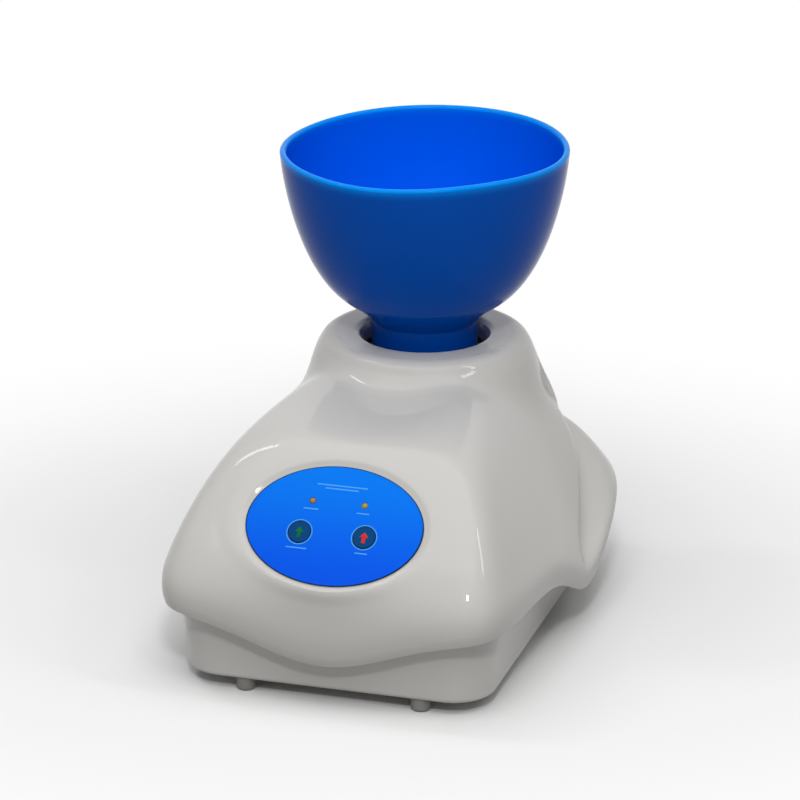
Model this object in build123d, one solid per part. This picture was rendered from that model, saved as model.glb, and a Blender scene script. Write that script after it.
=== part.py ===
from build123d import *
import math
import os
import numpy as np

os.makedirs("parts", exist_ok=True)

# Bench-top mixer that spins a rubber bowl of impression material.
# Millimetres, +Z up.  The origin is on the table under the middle of the machine; the control
# panel faces -Y and the bowl turns about a vertical axis behind the middle.

# ---------------------------------------------------------------- top cover
cover_half_width = 91.9          # skirt, at the middle of its length
cover_front_y = -119.75          # skirt, front
cover_back_y = 121.8             # skirt, back
cover_widening = 0.084           # growth of the half width per 100 mm towards the back
cover_widest_y = 0.0             # where the front and back halves of the outline meet
front_squareness = 9.9           # exponent of the front half's outline
back_squareness = 3.01           # exponent of the back half's outline
cover_wall = 3.0
skin_columns = 35                # grid of the sculpted skin, one half
skin_rows = 30
skirt_corner_z = 42.8            # skirt edge at the corners
skirt_front_drop = 19.9          # how far the edge dips in the middle of the front
skirt_front_spread = 47.1
skirt_side_drop = 20.7           # how far it dips along each side
skirt_side_y = 14.7
skirt_side_spread = 36.2
skirt_band = 11.0                # upright band above the edge
skirt_tuck = 1.9                 # the band leans in by this much at the edge
skirt_front_tuck = 3.1           # and by this much in the middle of the front
dome_side_z = 120.4              # height at which the dome would reach its root, by direction
dome_front_z = 115.4
dome_back_z = 84.2
dome_root_radius = 28.3          # plan radius of that root round the spindle
dome_side_width_power = 1.88     # cross-section exponents of the dome
dome_side_height_power = 0.99
dome_front_width_power = 7.91
dome_front_height_power = 1.9
dome_front_share = 4.18          # how quickly the front's exponents give way to the side's
valley_depth = 10.0              # hollow in each flank between cheek and back lobe
valley_y = 58.8
valley_middle_z = 66.5           # height at which the hollow is at valley_y
valley_lean = 1.15               # the hollow runs backwards as it rises
valley_spread = 13.2
valley_z = (23.1, 42.0, 81.8, 98.0)
facet_softness = 3.4             # how gently the dome rolls into the panel's plane
facet_back_y = -20.0             # the facet is cut only in front of this
neck_join_radius = 64.9          # where the dome starts to flare up into the neck
neck_back_join_radius = 60.0     # the same at the back
neck_reach_in = 0.45             # pull of the flare's two ends, as shares of its chord
neck_reach_up = 0.57
neck_lean = 18.2                 # degrees the neck leans inwards
neck_top_radius = 52.3
neck_top_z = 129.4               # crest of the neck's lip
neck_straight_z = 119.0          # where the lip starts to roll in
lip_crest_radius = 43.0
neck_hole_radius = 33.9
neck_collar_depth = 13.0

# ---------------------------------------------------------------- control panel
panel_half_width = 42.0
panel_half_height = 29.2
panel_y = -96.75
panel_z = 84.0
panel_tilt = 46.9                # slope of the panel from level
panel_thickness = 0.8
panel_pocket_depth = 1.0
panel_pocket_gap = 0.3
panel_land = 1.06                # flat land and run-out round the panel, as shares of its ellipse
panel_run_out = 1.35
button_radius = 5.3
button_gap = 0.3
button_height = 2.6
button_proud = 0.4
button_travel = 0.8
button_stem_radius = 1.8
start_button_at = (-15.6, -4.6)
stop_button_at = (15.0, -4.0)
lamp_radius = 1.5
lamp_gap = 0.15
lamp_proud = 0.6
running_lamp_at = (-12.6, 11.2)
power_lamp_at = (12.1, 11.4)
board_depth = 10.0               # face of the control board below the panel's land
board_thickness = 1.6
board_size = (62.0, 36.0)
board_hole_inset = 4.0
board_post_radius = 3.0
switch_side = 6.0
switch_gap = 0.1

# ---------------------------------------------------------------- base tub, feet and screws
tub_half_width = cover_half_width - 18.4      # at the floor
tub_front_y = cover_front_y + 14.0
tub_back_y = cover_back_y - 19.55
tub_corner_radius = 20.0
tub_floor_z = 6.5                # underside of the floor above the table
tub_top_z = 49.5
tub_wall = 2.8
tub_draft = 5.5                  # degrees the walls lean outwards
tub_edge_round = 2.5
tub_notch = (-26.0, 54.0, 38.0)    # front y, back y and height of the lowered side walls
tub_seat_gap = 0.4
foot_radius = 4.6
foot_sunk = 1.5
foot_round = 1.2
foot_at = (42.0, -99.5, 86.0)    # x, front y, back y
screw_clearance = 0.2
foot_screw_radius = 1.25
foot_screw_head_radius = 2.2
cover_post_radius = 5.0
cover_post_at = (56.0, -74.0, 76.0)
cover_post_foot_z = 24.0
cover_screw_radius = 1.75
vent_count = 7
vent_size = (3.0, 34.0)
vent_pitch = 7.0

# ---------------------------------------------------------------- drive
spindle_y = 47.85
spindle_radius = 5.0
spindle_foot_z = 34.0
running_gap = 0.04
plate_z = 76.0                   # underside of the chassis plate
plate_thickness = 2.0
plate_half_width = 40.0
plate_y = (-26.0, 79.0)
pillar_radius = 4.0
pillar_inset = 7.0
plate_screw_radius = 1.5
bearing_radius = 13.0
bearing_width = 8.0
bearing_wall = 3.5
housing_length = 36.0
housing_flange = 7.0
housing_flange_thickness = 4.0
gear_module = 1.5
gear_teeth = 46
pinion_teeth = 14
gear_width = 8.0
pinion_width = 11.0
gear_backlash = 0.16
gear_gap = 4.0                   # air between the plate and the gears
motor_radius = 21.0
motor_length = 58.0
motor_shaft_radius = 2.5
motor_boss_radius = 8.0
motor_boss_height = 1.6
motor_screw_at = 12.5

# ---------------------------------------------------------------- bowl and its hub
hub_radius = 29.0
hub_floor_z = 107.0
hub_floor_thickness = 3.0
hub_wall_height = 9.0
hub_boss_radius = 11.0
hub_boss_length = 12.0
foot_fit_gap = 0.3
bowl_foot_radius = 25.2
bowl_foot_wall = 4.0
bowl_foot_recess = 4.0
bowl_rim_radius = 67.8
bowl_rim_z = 222.1
bowl_pole_z = 139.6              # where the outer curve would meet the axis
bowl_width_power = 3.5
bowl_height_power = 1.52
bowl_wall = 3.0
bowl_floor_thickness = 6.0

# ---------------------------------------------------------------- mains inlet, switch and power unit
inlet_x = -26.0
inlet_z = 24.0
inlet_size = (27.0, 19.5)
inlet_flange = (32.0, 25.0)
inlet_flange_thickness = 2.0
inlet_depth = 20.0
inlet_socket = (24.0, 16.4)
inlet_socket_depth = 16.0
pin_size = (2.0, 4.0, 12.0)
rocker_x = 30.0
rocker_size = (12.6, 18.6)
rocker_frame = (16.0, 22.0)
rocker_frame_thickness = 1.6
rocker_frame_wall = 0.8
rocker_depth = 15.0
rocker_pivot_depth = 3.0
rocker_pin_radius = 1.2
rocker_swing = 20.0              # degrees from off to on
rocker_gap = 0.3
supply_board_size = (70.0, 46.0)
supply_board_y = -64.0
supply_post_height = 6.0
transformer_size = (34.0, 28.0, 26.0)

# ---------------------------------------------------------------- worked-out places
tub_inner_floor_z = tub_floor_z + tub_wall
plate_top_z = plate_z + plate_thickness
gear_z = plate_top_z + gear_gap
gear_distance = gear_module * (gear_teeth + pinion_teeth) / 2
motor_y = spindle_y - gear_distance
panel_plane = Plane(
    origin=(0, panel_y, panel_z),
    x_dir=(1, 0, 0),
    z_dir=(0, -math.sin(math.radians(panel_tilt)), math.cos(math.radians(panel_tilt))),
)


def save(shape, name, color):
    """Write one sub-part as parts/NAME.step."""
    shape.label = name
    shape.color = Color(*color)
    export_step(shape, f"parts/{name}.step")


def smoothstep(low, high, value):
    """0 below low, 1 above high, with a smooth cubic rise between."""
    share = np.clip((value - low) / (high - low), 0.0, 1.0)
    return share * share * (3.0 - 2.0 * share)


# ================================================================ top cover
def skirt_outline(turn):
    """Plan outline of the skirt: a superellipse, squarer in front, wider behind."""
    ahead = np.sin(turn) < 0
    power = np.where(ahead, front_squareness, back_squareness)
    reach = np.where(ahead, cover_widest_y - cover_front_y, cover_back_y - cover_widest_y)
    across = np.cos(turn)
    along = np.sin(turn)
    scale = (np.abs(across) ** power + np.abs(along) ** power) ** (-1.0 / power)
    y = cover_widest_y + reach * along * scale
    x = cover_half_width * across * scale * (1.0 + cover_widening * (y - cover_widest_y) / 100.0)
    return x, y


def skirt_edge_z(x, y):
    """Height of the wavy lower edge: high at the corners, low in front and along the sides."""
    middle = np.exp(-((x / skirt_front_spread) ** 2)) * (1.0 - smoothstep(-60.0, -10.0, y))
    side = np.exp(-(((y - skirt_side_y) / skirt_side_spread) ** 2)) * (1.0 - np.exp(-((x / 40.0) ** 4)))
    return skirt_corner_z - skirt_front_drop * middle - skirt_side_drop * side


def cut_facet(x, y, z):
    """Trim softly what stands in front of the panel's plane, and lay the land round the panel flat on it."""
    tilt = math.radians(panel_tilt)
    off = (z - panel_z) * math.cos(tilt) - (y - panel_y) * math.sin(tilt)
    up_slope = (y - panel_y) * math.cos(tilt) + (z - panel_z) * math.sin(tilt)
    ring = np.hypot(x / panel_half_width, up_slope / panel_half_height)
    trimmed = -facet_softness * np.logaddexp(0.0, -off / facet_softness)
    left = np.where(y < facet_back_y, trimmed, off)
    land = (1.0 - smoothstep(panel_land, panel_run_out, ring)) * (np.abs(left) < 15.0)
    pull = off - left * (1.0 - land)
    return x, y + pull * math.sin(tilt), z - pull * math.cos(tilt)


def skirt_rise(turn, low_z):
    """The band above the skirt's edge, carried straight down to low_z below it."""
    x, y = skirt_outline(turn)
    edge = skirt_edge_z(x, y)
    ahead = np.clip(-np.sin(turn), 0.0, 1.0) ** 6
    tuck = skirt_tuck + (skirt_front_tuck - skirt_tuck) * ahead
    levels = np.array((0.0, 0.5, 0.0, 0.3, 0.6))
    lean = tuck * np.array((1.0, 1.0, 1.0, 0.49, 0.16)) / np.hypot(x, y)
    z = np.where(np.arange(5) < 2, low_z + (edge - low_z) * levels, edge + skirt_band * levels)
    return np.stack((x * (1.0 - lean), y * (1.0 - lean), z), axis=-1)


def dome_rise(turn):
    """Superelliptic arc from the band up towards the root, hollowed in the flank, cut by the facet."""
    x_skirt, y_skirt = skirt_outline(turn)
    band_z = skirt_edge_z(x_skirt, y_skirt) + skirt_band
    front = np.clip(-np.sin(turn), 0.0, 1.0) ** dome_front_share
    back = np.clip(np.sin(turn), 0.0, 1.0) ** 2
    width_power = dome_side_width_power + (dome_front_width_power - dome_side_width_power) * front
    height_power = dome_side_height_power + (dome_front_height_power - dome_side_height_power) * front
    root_z = dome_side_z * (1.0 - front - back) + dome_front_z * front + dome_back_z * back
    angle = np.linspace(0.0, math.pi / 2, 400)
    out = np.cos(angle) ** (2.0 / width_power)
    rise = np.sin(angle) ** (2.0 / height_power)
    z = band_z + (root_z - band_z) * rise
    y = y_skirt * out + (spindle_y + dome_root_radius * np.sin(turn)) * (1.0 - out)
    x = x_skirt * out + dome_root_radius * np.cos(turn) * (1.0 - out)
    middle = valley_y + valley_lean * (z - valley_middle_z)
    hollow = valley_depth * np.exp(-(((y - middle) / valley_spread) ** 2))
    hollow *= smoothstep(valley_z[0], valley_z[1], z) * (1.0 - smoothstep(valley_z[2], valley_z[3], z))
    return np.stack(cut_facet(x - hollow * np.clip(x / 60.0, -1.0, 1.0), y, z), axis=-1)


def point_on(path, place):
    """Point at a fractional place along a list of points."""
    return np.array([np.interp(place, np.arange(len(path)), path[:, axis]) for axis in range(3)])


def neck_rise(start, heading):
    """Bezier flare from the dome's end into the leaning neck, then the elliptical lip's roll."""
    lean = math.radians(neck_lean)
    bearing = math.atan2(start[1] - spindle_y, start[0])
    outward = np.array((math.cos(bearing), math.sin(bearing), 0.0))
    upward = np.array((0.0, 0.0, 1.0))
    axis = np.array((0.0, spindle_y, 0.0))
    lip_width = neck_top_radius - lip_crest_radius
    lip_height = neck_top_z - neck_straight_z
    low = math.atan2(lip_height * math.tan(lean), lip_width)
    turns = np.concatenate((np.linspace(low, math.pi / 2, 8)[:, None], np.full((3, 1), math.pi / 2)))
    radius = lip_crest_radius + lip_width * np.cos(turns)
    radius[8:, 0] = np.linspace(lip_crest_radius, neck_hole_radius * 0.65, 4)[1:]
    lip = axis + radius * outward + (neck_straight_z + lip_height * np.sin(turns)) * upward
    chord = np.linalg.norm(lip[0] - start)
    first = start + heading * chord * neck_reach_in
    second = lip[0] + (math.sin(lean) * outward - math.cos(lean) * upward) * chord * neck_reach_up
    share = np.linspace(0.0, 1.0, 25)[1:-1, None]
    flare = (1 - share) ** 3 * start + 3 * (1 - share) ** 2 * share * first
    flare += 3 * (1 - share) * share ** 2 * second + share ** 3 * lip[0]
    return np.concatenate((flare, lip))


def cover_rise(turn, low_z):
    """Points up the cover's outer skin at one turn, from low_z below the edge to over the neck's hole."""
    dome = dome_rise(turn)
    from_axis = np.hypot(dome[:, 0], dome[:, 1] - spindle_y)
    back = smoothstep(0.65, 1.0, np.sin(turn))
    join = neck_join_radius + (neck_back_join_radius - neck_join_radius) * back
    above = int(np.argmax(from_axis < join))
    place = above - 1 + (from_axis[above - 1] - join) / (from_axis[above - 1] - from_axis[above])
    start = point_on(dome, place)
    heading = start - point_on(dome, place - 3.0)
    heading /= np.linalg.norm(heading)
    return np.concatenate((skirt_rise(turn, low_z), dome[:above], [start], neck_rise(start, heading)))


def even_turns():
    """Turns from front to back, evenly spaced between arc length and angle, a little past each end."""
    fine = np.radians(np.linspace(-90.0, 90.0, 2001))
    x, y = skirt_outline(fine)
    length = np.concatenate(([0.0], np.cumsum(np.hypot(np.diff(x), np.diff(y)))))
    measure = 0.7 * length / length[-1] + 0.3 * np.linspace(0.0, 1.0, fine.size)
    turns = np.interp(np.linspace(0.0, 1.0, skin_columns), measure, fine)
    past = math.radians(4.0)
    return np.concatenate(([turns[0] - past], turns, [turns[-1] + past]))


def cover_grid(low_z):
    """The outer skin of one half as a grid of points, evenly spaced along every rise."""
    turns = even_turns()
    grid = np.zeros((skin_rows, 3, turns.size))
    for column, turn in enumerate(turns):
        rise = cover_rise(turn, low_z)
        length = np.concatenate(([0.0], np.cumsum(np.linalg.norm(np.diff(rise, axis=0), axis=1))))
        places = np.linspace(0.0, length[-1], skin_rows)
        for axis in range(3):
            grid[:, axis, column] = np.interp(places, length, rise[:, axis])
    return grid


def inset(grid, depth):
    """The same grid moved inwards along its normals."""
    along = np.gradient(grid, axis=2).transpose(0, 2, 1)
    up = np.gradient(grid, axis=0).transpose(0, 2, 1)
    normal = np.cross(along, up)
    normal /= np.linalg.norm(normal, axis=2, keepdims=True)
    return grid - depth * normal.transpose(0, 2, 1)


def skin_half(grid, foot_z):
    """The solid under a skin, from foot_z up: a half block trimmed by the skin's surface."""
    points = [[Vector(*grid[row, :, col]) for col in range(grid.shape[2])] for row in range(grid.shape[0])]
    skin = Face.make_surface_from_array_of_points(points, tol=0.05, smoothing=(1, 1, 1), max_deg=8)
    block = Pos(0, 0, foot_z) * Box(
        cover_half_width * 1.5, 2.6 * cover_back_y, neck_top_z * 1.5, align=(Align.MIN, Align.CENTER, Align.MIN))
    block -= Pos(0, spindle_y, 0) * Cylinder(neck_hole_radius * 0.85, neck_top_z * 5)
    pieces = block.solids()[0].split(skin, keep=Keep.BOTH)
    return ShapeList(pieces).sort_by(SortBy.VOLUME)[0]


def edge_cutter():
    """Everything below the wavy lower edge: a wavy surface drawn down."""
    x = np.linspace(-cover_half_width * 1.3, cover_half_width * 1.3, 31)
    y = np.linspace(cover_front_y * 1.15, cover_back_y * 1.15, 35)
    points = [[Vector(px, py, float(skirt_edge_z(px, py))) for px in x] for py in y]
    wave = Face.make_surface_from_array_of_points(points, tol=0.05, smoothing=(1, 1, 1), max_deg=8)
    return Solid.extrude(wave, Vector(0, 0, -skirt_corner_z * 2))


def pillar(x, y, z, radius, height):
    """An upright cylinder standing on z."""
    return Pos(x, y, z) * Cylinder(radius, height, align=(Align.CENTER, Align.CENTER, Align.MIN))


def on_panel(x, y, z, shape):
    """Place a shape on the panel's plane, z measured out from the land."""
    return panel_plane * Pos(x, y, z) * shape


def up(shape_height, radius):
    """A cylinder that stands on its foot."""
    return Cylinder(radius, shape_height, align=(Align.CENTER, Align.CENTER, Align.MIN))


def cover_screw_places():
    x, front, back = cover_post_at
    return [(-x, front), (x, front), (-x, back), (x, back)]


def board_screw_places():
    x = board_size[0] / 2 - board_hole_inset
    y = board_size[1] / 2 - board_hole_inset
    return [(-x, -y), (x, -y), (-x, y), (x, y)]


def panel_holes(clearance_depth):
    """The openings for both buttons and both lamps, cut along the panel's normal."""
    holes = []
    for place in (start_button_at, stop_button_at):
        holes.append(on_panel(*place, -clearance_depth, up(clearance_depth + 5.0, button_radius + button_gap)))
    for place in (running_lamp_at, power_lamp_at):
        holes.append(on_panel(*place, -clearance_depth, up(clearance_depth + 5.0, lamp_radius + lamp_gap)))
    return holes


def panel_ellipse(grow, thickness):
    """An elliptical plate standing on the panel's plane."""
    return extrude(Ellipse(panel_half_width + grow, panel_half_height + grow), thickness)


def build_top_cover():
    """One moulded shell, worked on as a half and mirrored before the keys' and lamps' holes are cut."""
    outer = cover_grid(-8.0)
    half = skin_half(outer, 2.0)
    hollow = skin_half(inset(outer, cover_wall), 0.0)
    for x, y in right_hand(cover_screw_places()):
        hollow -= pillar(x, y, cover_post_foot_z, cover_post_radius, 150.0)
    for x, y in right_hand(board_screw_places()):
        hollow -= on_panel(x, y, -board_depth, up(board_depth + 8.0, board_post_radius))
    hollow -= pillar(0, spindle_y, neck_top_z - neck_collar_depth, neck_hole_radius + cover_wall, 60.0)
    half = half - hollow
    half -= pillar(0, spindle_y, neck_top_z - 60.0, neck_hole_radius, 90.0)
    half -= edge_cutter()
    half -= on_panel(0, 0, -panel_pocket_depth, panel_ellipse(panel_pocket_gap, 12.0))
    for x, y in right_hand(cover_screw_places()):
        half -= pillar(x, y, cover_post_foot_z - 1.0, cover_screw_radius, 22.0)
    for x, y in right_hand(board_screw_places()):
        half -= on_panel(x, y, -board_depth - 1.0, up(7.0, plate_screw_radius))
    cover = half + half.mirror(Plane.YZ)
    cover -= panel_holes(cover_wall * 2)
    return cover


def right_hand(places):
    return [place for place in places if place[0] > 0]


# ================================================================ base tub
def tub_block(grow, floor_z, top_z):
    """Rounded, tapered block of the tub; grow moves every wall outwards."""
    spread = math.tan(math.radians(tub_draft))
    sections = []
    for z in (floor_z, top_z):
        out = grow + spread * (z - tub_floor_z)
        width = 2 * (tub_half_width + out)
        depth = tub_back_y - tub_front_y + 2 * out
        middle = (tub_back_y + tub_front_y) / 2
        sections.append(Plane(origin=(0, middle, z)) * RectangleRounded(width, depth, tub_corner_radius + out))
    return loft(sections)


def foot_places():
    x, front, back = foot_at
    return [(-x, front), (x, front), (-x, back), (x, back)]


def pillar_places():
    x = plate_half_width - pillar_inset
    return [(px, py) for px in (-x, x) for py in (plate_y[0] + pillar_inset, plate_y[1] - pillar_inset)]


def supply_screw_places():
    x = supply_board_size[0] / 2 - 4.0
    y = supply_board_size[1] / 2 - 4.0
    return [(px, supply_board_y + py) for px in (-x, x) for py in (-y, y)]


def build_base_tub():
    tub = tub_block(0.0, tub_floor_z, tub_top_z)
    tub = fillet(tub.faces().sort_by(Axis.Z)[0].edges(), tub_edge_round)
    tub -= tub_block(-tub_wall, tub_inner_floor_z, tub_top_z + 1.0)
    # the side walls stand lower where the cover's flanks draw in
    notch_front, notch_back, notch_z = tub_notch
    tub -= Pos(0, (notch_front + notch_back) / 2, notch_z) * Box(
        3.0 * cover_half_width, notch_back - notch_front, 60.0, align=(Align.CENTER, Align.CENTER, Align.MIN))
    for x, y in cover_screw_places():
        tub += pillar(x, y, tub_inner_floor_z, cover_post_radius + 1.0,
                      cover_post_foot_z - tub_seat_gap - tub_inner_floor_z)
    for x, y in supply_screw_places():
        tub += pillar(x, y, tub_inner_floor_z, board_post_radius, supply_post_height)
    for x, y in cover_screw_places():
        tub -= pillar(x, y, 0.0, cover_screw_radius + screw_clearance, 60.0)
        tub -= pillar(x, y, tub_floor_z - 1.0, cover_screw_radius * 2 + screw_clearance, 7.0)
    for x, y in pillar_places():
        tub -= pillar(x, y, tub_floor_z - 1.0, plate_screw_radius + screw_clearance, 10.0)
    for x, y in supply_screw_places():
        tub -= pillar(x, y, tub_inner_floor_z + supply_post_height - 4.0, plate_screw_radius, 10.0)
    for x, y in foot_places():
        tub -= pillar(x, y, tub_floor_z - 1.0, foot_screw_radius, 10.0)
    for x, y in foot_places():
        tub -= pillar(x, y, tub_floor_z - 5.0, foot_radius + 0.1, 5.0 + foot_sunk)
    for index in range(vent_count):
        x = (index - (vent_count - 1) / 2) * vent_pitch
        tub -= Pos(x, motor_y - 4.0, tub_floor_z) * Box(vent_size[0], vent_size[1], 12.0)
    tub -= Pos(inlet_x, tub_back_y, inlet_z) * Box(inlet_size[0] + 0.4, 30.0, inlet_size[1] + 0.4)
    rocker_room = 2 * rocker_frame_wall + 0.2
    tub -= Pos(rocker_x, tub_back_y, inlet_z) * Box(
        rocker_size[0] + rocker_room, 30.0, rocker_size[1] + rocker_room)
    return tub.solids().sort_by(SortBy.VOLUME)[-1]


def back_wall_y(z):
    """Outer face of the tub's back wall at height z."""
    return tub_back_y + math.tan(math.radians(tub_draft)) * (z - tub_floor_z)


def screw(x, y, z, radius, length, head_radius, head_height):
    """A screw pointing up: head below z, shank above it."""
    return pillar(x, y, z - head_height, head_radius, head_height) + pillar(x, y, z, radius, length)


def build_rubber_feet():
    feet = []
    for x, y in foot_places():
        foot = pillar(0, 0, 0.0, foot_radius, tub_floor_z + foot_sunk)
        foot = fillet(foot.faces().sort_by(Axis.Z)[0].edges(), foot_round)
        foot -= pillar(0, 0, -1.0, foot_screw_head_radius + screw_clearance, 4.0)
        foot -= pillar(0, 0, 0.0, foot_screw_radius + screw_clearance, 12.0)
        feet.append(Pos(x, y, 0) * foot)
    return Compound(children=feet)


def build_foot_screws():
    return Compound(children=[
        screw(x, y, 3.0, foot_screw_radius, 9.0, foot_screw_head_radius, 1.6) for x, y in foot_places()])


def build_cover_screws():
    seat = tub_floor_z + 6.0
    return Compound(children=[
        screw(x, y, seat, cover_screw_radius, 24.0, cover_screw_radius * 2, 2.4) for x, y in cover_screw_places()])


# ================================================================ control panel
def build_control_panel():
    panel = on_panel(0, 0, -panel_pocket_depth, panel_ellipse(0.0, panel_thickness))
    panel -= panel_holes(cover_wall)
    return panel


def build_button(place):
    """A round key cap with a stem that reaches the switch behind it."""
    top = panel_thickness - panel_pocket_depth + button_proud
    foot = top - button_height
    cap = on_panel(*place, foot, up(button_height, button_radius))
    cap = fillet(cap.faces().sort_by(Axis(panel_plane.origin, panel_plane.z_dir))[-1].edges(), 0.5)
    stem_end = switch_top() + button_travel + switch_gap
    return cap + on_panel(*place, stem_end, up(foot - stem_end, button_stem_radius))


def switch_top():
    """Top of the switches' plungers, from the panel's land."""
    return -board_depth + 4.3


def build_switches():
    """Two tactile switches: square bodies with round plungers."""
    switches = []
    for place in (start_button_at, stop_button_at):
        body = on_panel(*place, -board_depth, Box(
            switch_side, switch_side, 3.5, align=(Align.CENTER, Align.CENTER, Align.MIN)))
        body += on_panel(*place, -board_depth + 3.5, up(switch_top() + board_depth - 3.5, 1.7))
        switches.append(body)
    return Compound(children=switches)


def build_lamp(place):
    """A round indicator lamp that stands on the board and shows through the panel."""
    top = panel_thickness - panel_pocket_depth + lamp_proud
    length = top + board_depth
    lamp = on_panel(*place, -board_depth, up(length, lamp_radius))
    lamp = fillet(lamp.faces().sort_by(Axis(panel_plane.origin, panel_plane.z_dir))[-1].edges(), lamp_radius * 0.7)
    return lamp + on_panel(*place, -board_depth, up(1.0, lamp_radius + 0.4))


def build_control_board():
    board = on_panel(0, 0, -board_depth - board_thickness, Box(
        board_size[0], board_size[1], board_thickness, align=(Align.CENTER, Align.CENTER, Align.MIN)))
    for x, y in board_screw_places():
        board -= on_panel(x, y, -board_depth - 5.0, up(10.0, plate_screw_radius + screw_clearance))
    return board


def build_board_screws():
    screws = []
    for x, y in board_screw_places():
        shape = up(1.6, plate_screw_radius * 1.8) + Pos(0, 0, 1.6) * up(board_thickness + 4.0, plate_screw_radius)
        screws.append(on_panel(x, y, -board_depth - board_thickness - 1.6, shape))
    return Compound(children=screws)


# ================================================================ chassis, bearings and motor
def build_chassis_plate():
    plate = Pos(0, (plate_y[0] + plate_y[1]) / 2, plate_z) * Box(
        2 * plate_half_width, plate_y[1] - plate_y[0], plate_thickness,
        align=(Align.CENTER, Align.CENTER, Align.MIN))
    plate = fillet(plate.edges().filter_by(Axis.Z), 6.0)
    plate -= pillar(0, spindle_y, plate_z - 1, spindle_radius + 3.0, 10.0)
    plate -= pillar(0, motor_y, plate_z - 1, motor_boss_radius + 0.2, 10.0)
    for x, y in pillar_places() + housing_screw_places() + motor_screw_places():
        plate -= pillar(x, y, plate_z - 1, plate_screw_radius + screw_clearance, 10.0)
    return plate


def housing_screw_places():
    ring = bearing_radius + bearing_wall + housing_flange / 2
    return [(ring * math.cos(a), spindle_y + ring * math.sin(a)) for a in np.radians((0.0, 90.0, 180.0))]


def motor_screw_places():
    return [(-motor_screw_at, motor_y), (motor_screw_at, motor_y)]


def build_chassis_pillars():
    """Four turned pillars between the tub's floor and the plate, tapped at both ends."""
    pillars = []
    for x, y in pillar_places():
        post = pillar(x, y, tub_inner_floor_z, pillar_radius, plate_z - tub_inner_floor_z)
        post -= pillar(x, y, tub_inner_floor_z - 1.0, plate_screw_radius, 9.0)
        post -= pillar(x, y, plate_z - 8.0, plate_screw_radius, 9.0)
        pillars.append(post)
    return Compound(children=pillars)


def hanging_screw(x, y, z, length):
    """A screw pointing down from z, with its head above."""
    return pillar(x, y, z, plate_screw_radius * 1.9, 1.8) + pillar(x, y, z - length, plate_screw_radius, length)


def build_plate_screws():
    screws = [hanging_screw(x, y, plate_top_z, 7.0) for x, y in pillar_places()]
    screws += [screw(x, y, tub_floor_z, plate_screw_radius, 9.0, plate_screw_radius * 1.9, 1.6)
               for x, y in pillar_places()]
    return Compound(children=screws)


def build_housing_screws():
    return Compound(children=[hanging_screw(x, y, plate_top_z, 5.0) for x, y in housing_screw_places()])


def build_motor_screws():
    return Compound(children=[hanging_screw(x, y, plate_top_z, 6.0) for x, y in motor_screw_places()])


def build_bearing_housing():
    """Flanged sleeve under the plate with a seat for a ball bearing at each end."""
    outer = bearing_radius + bearing_wall
    housing = pillar(0, spindle_y, plate_z - housing_length, outer, housing_length)
    flange = pillar(0, spindle_y, plate_z - housing_flange_thickness, outer + housing_flange, housing_flange_thickness)
    flange -= Pos(0, spindle_y - outer - housing_flange, plate_z) * Box(200.0, 2 * housing_flange, 60.0)
    housing += flange
    housing -= pillar(0, spindle_y, 0, bearing_radius - 3.0, 200.0)
    housing -= pillar(0, spindle_y, plate_z - bearing_width, bearing_radius, 60.0)
    housing -= pillar(0, spindle_y, 0, bearing_radius, plate_z - housing_length + bearing_width)
    for x, y in housing_screw_places():
        housing -= pillar(x, y, plate_z - 10.0, plate_screw_radius, 20.0)
    return housing


def build_bearing(z):
    """A shielded ball bearing as one ring with shallow shield grooves."""
    ring = pillar(0, spindle_y, z, bearing_radius, bearing_width)
    ring -= pillar(0, spindle_y, z - 1, spindle_radius + running_gap, bearing_width + 2)
    groove = Cylinder(bearing_radius - 2.2, 0.4) - Cylinder(spindle_radius + 2.2, 0.4)
    for level in (z, z + bearing_width):
        ring -= Pos(0, spindle_y, level) * groove
    return ring


def gear_blank(teeth, width):
    """A spur gear with involute flanks, one tooth centred on +X."""
    pitch = gear_module * teeth / 2
    base = pitch * math.cos(math.radians(20.0))
    tip = pitch + gear_module
    root = pitch - 1.25 * gear_module
    involute = math.tan(math.radians(20.0)) - math.radians(20.0)
    half_tooth = math.pi / (2 * teeth) - gear_backlash / (2 * pitch) + involute
    flank = []
    for radius in np.linspace(max(base, root), tip, 4):
        press = math.acos(min(1.0, base / radius))
        flank.append((radius, half_tooth - (math.tan(press) - press)))
    if root < base:
        flank.insert(0, (root, flank[0][1]))
    points = []
    for tooth in range(teeth):
        middle = 2 * math.pi * tooth / teeth
        for radius, angle in flank:
            points.append((radius * math.cos(middle - angle), radius * math.sin(middle - angle)))
        for radius, angle in reversed(flank):
            points.append((radius * math.cos(middle + angle), radius * math.sin(middle + angle)))
    return extrude(make_face(Polyline(*points, close=True)), width)


def build_drive_gear():
    """Moulded gear keyed to the spindle, with a web and a hub boss."""
    gear = gear_blank(gear_teeth, gear_width)
    web = gear_width * 0.28
    rim = gear_module * gear_teeth / 2 - 6.0
    for z in (-1.0, gear_width - web):
        gear -= Pos(0, 0, z) * (up(web + 1.0, rim) - up(web + 1.0, 10.0))
    for angle in range(0, 360, 60):
        gear -= Rot(0, 0, angle) * Pos(rim * 0.62, 0, 0) * Cylinder(4.5, 60.0)
    gear -= Cylinder(spindle_radius, 60.0)
    # a tooth points at the motor
    return Pos(0, spindle_y, gear_z) * Rot(0, 0, -90) * gear


def build_pinion():
    pinion = gear_blank(pinion_teeth, pinion_width)
    pinion -= Cylinder(motor_shaft_radius, 60.0)
    # a gap points at the drive gear
    turn = 90.0 + 180.0 / pinion_teeth
    return Pos(0, motor_y, gear_z - (pinion_width - gear_width) / 2) * Rot(0, 0, turn) * pinion


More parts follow.
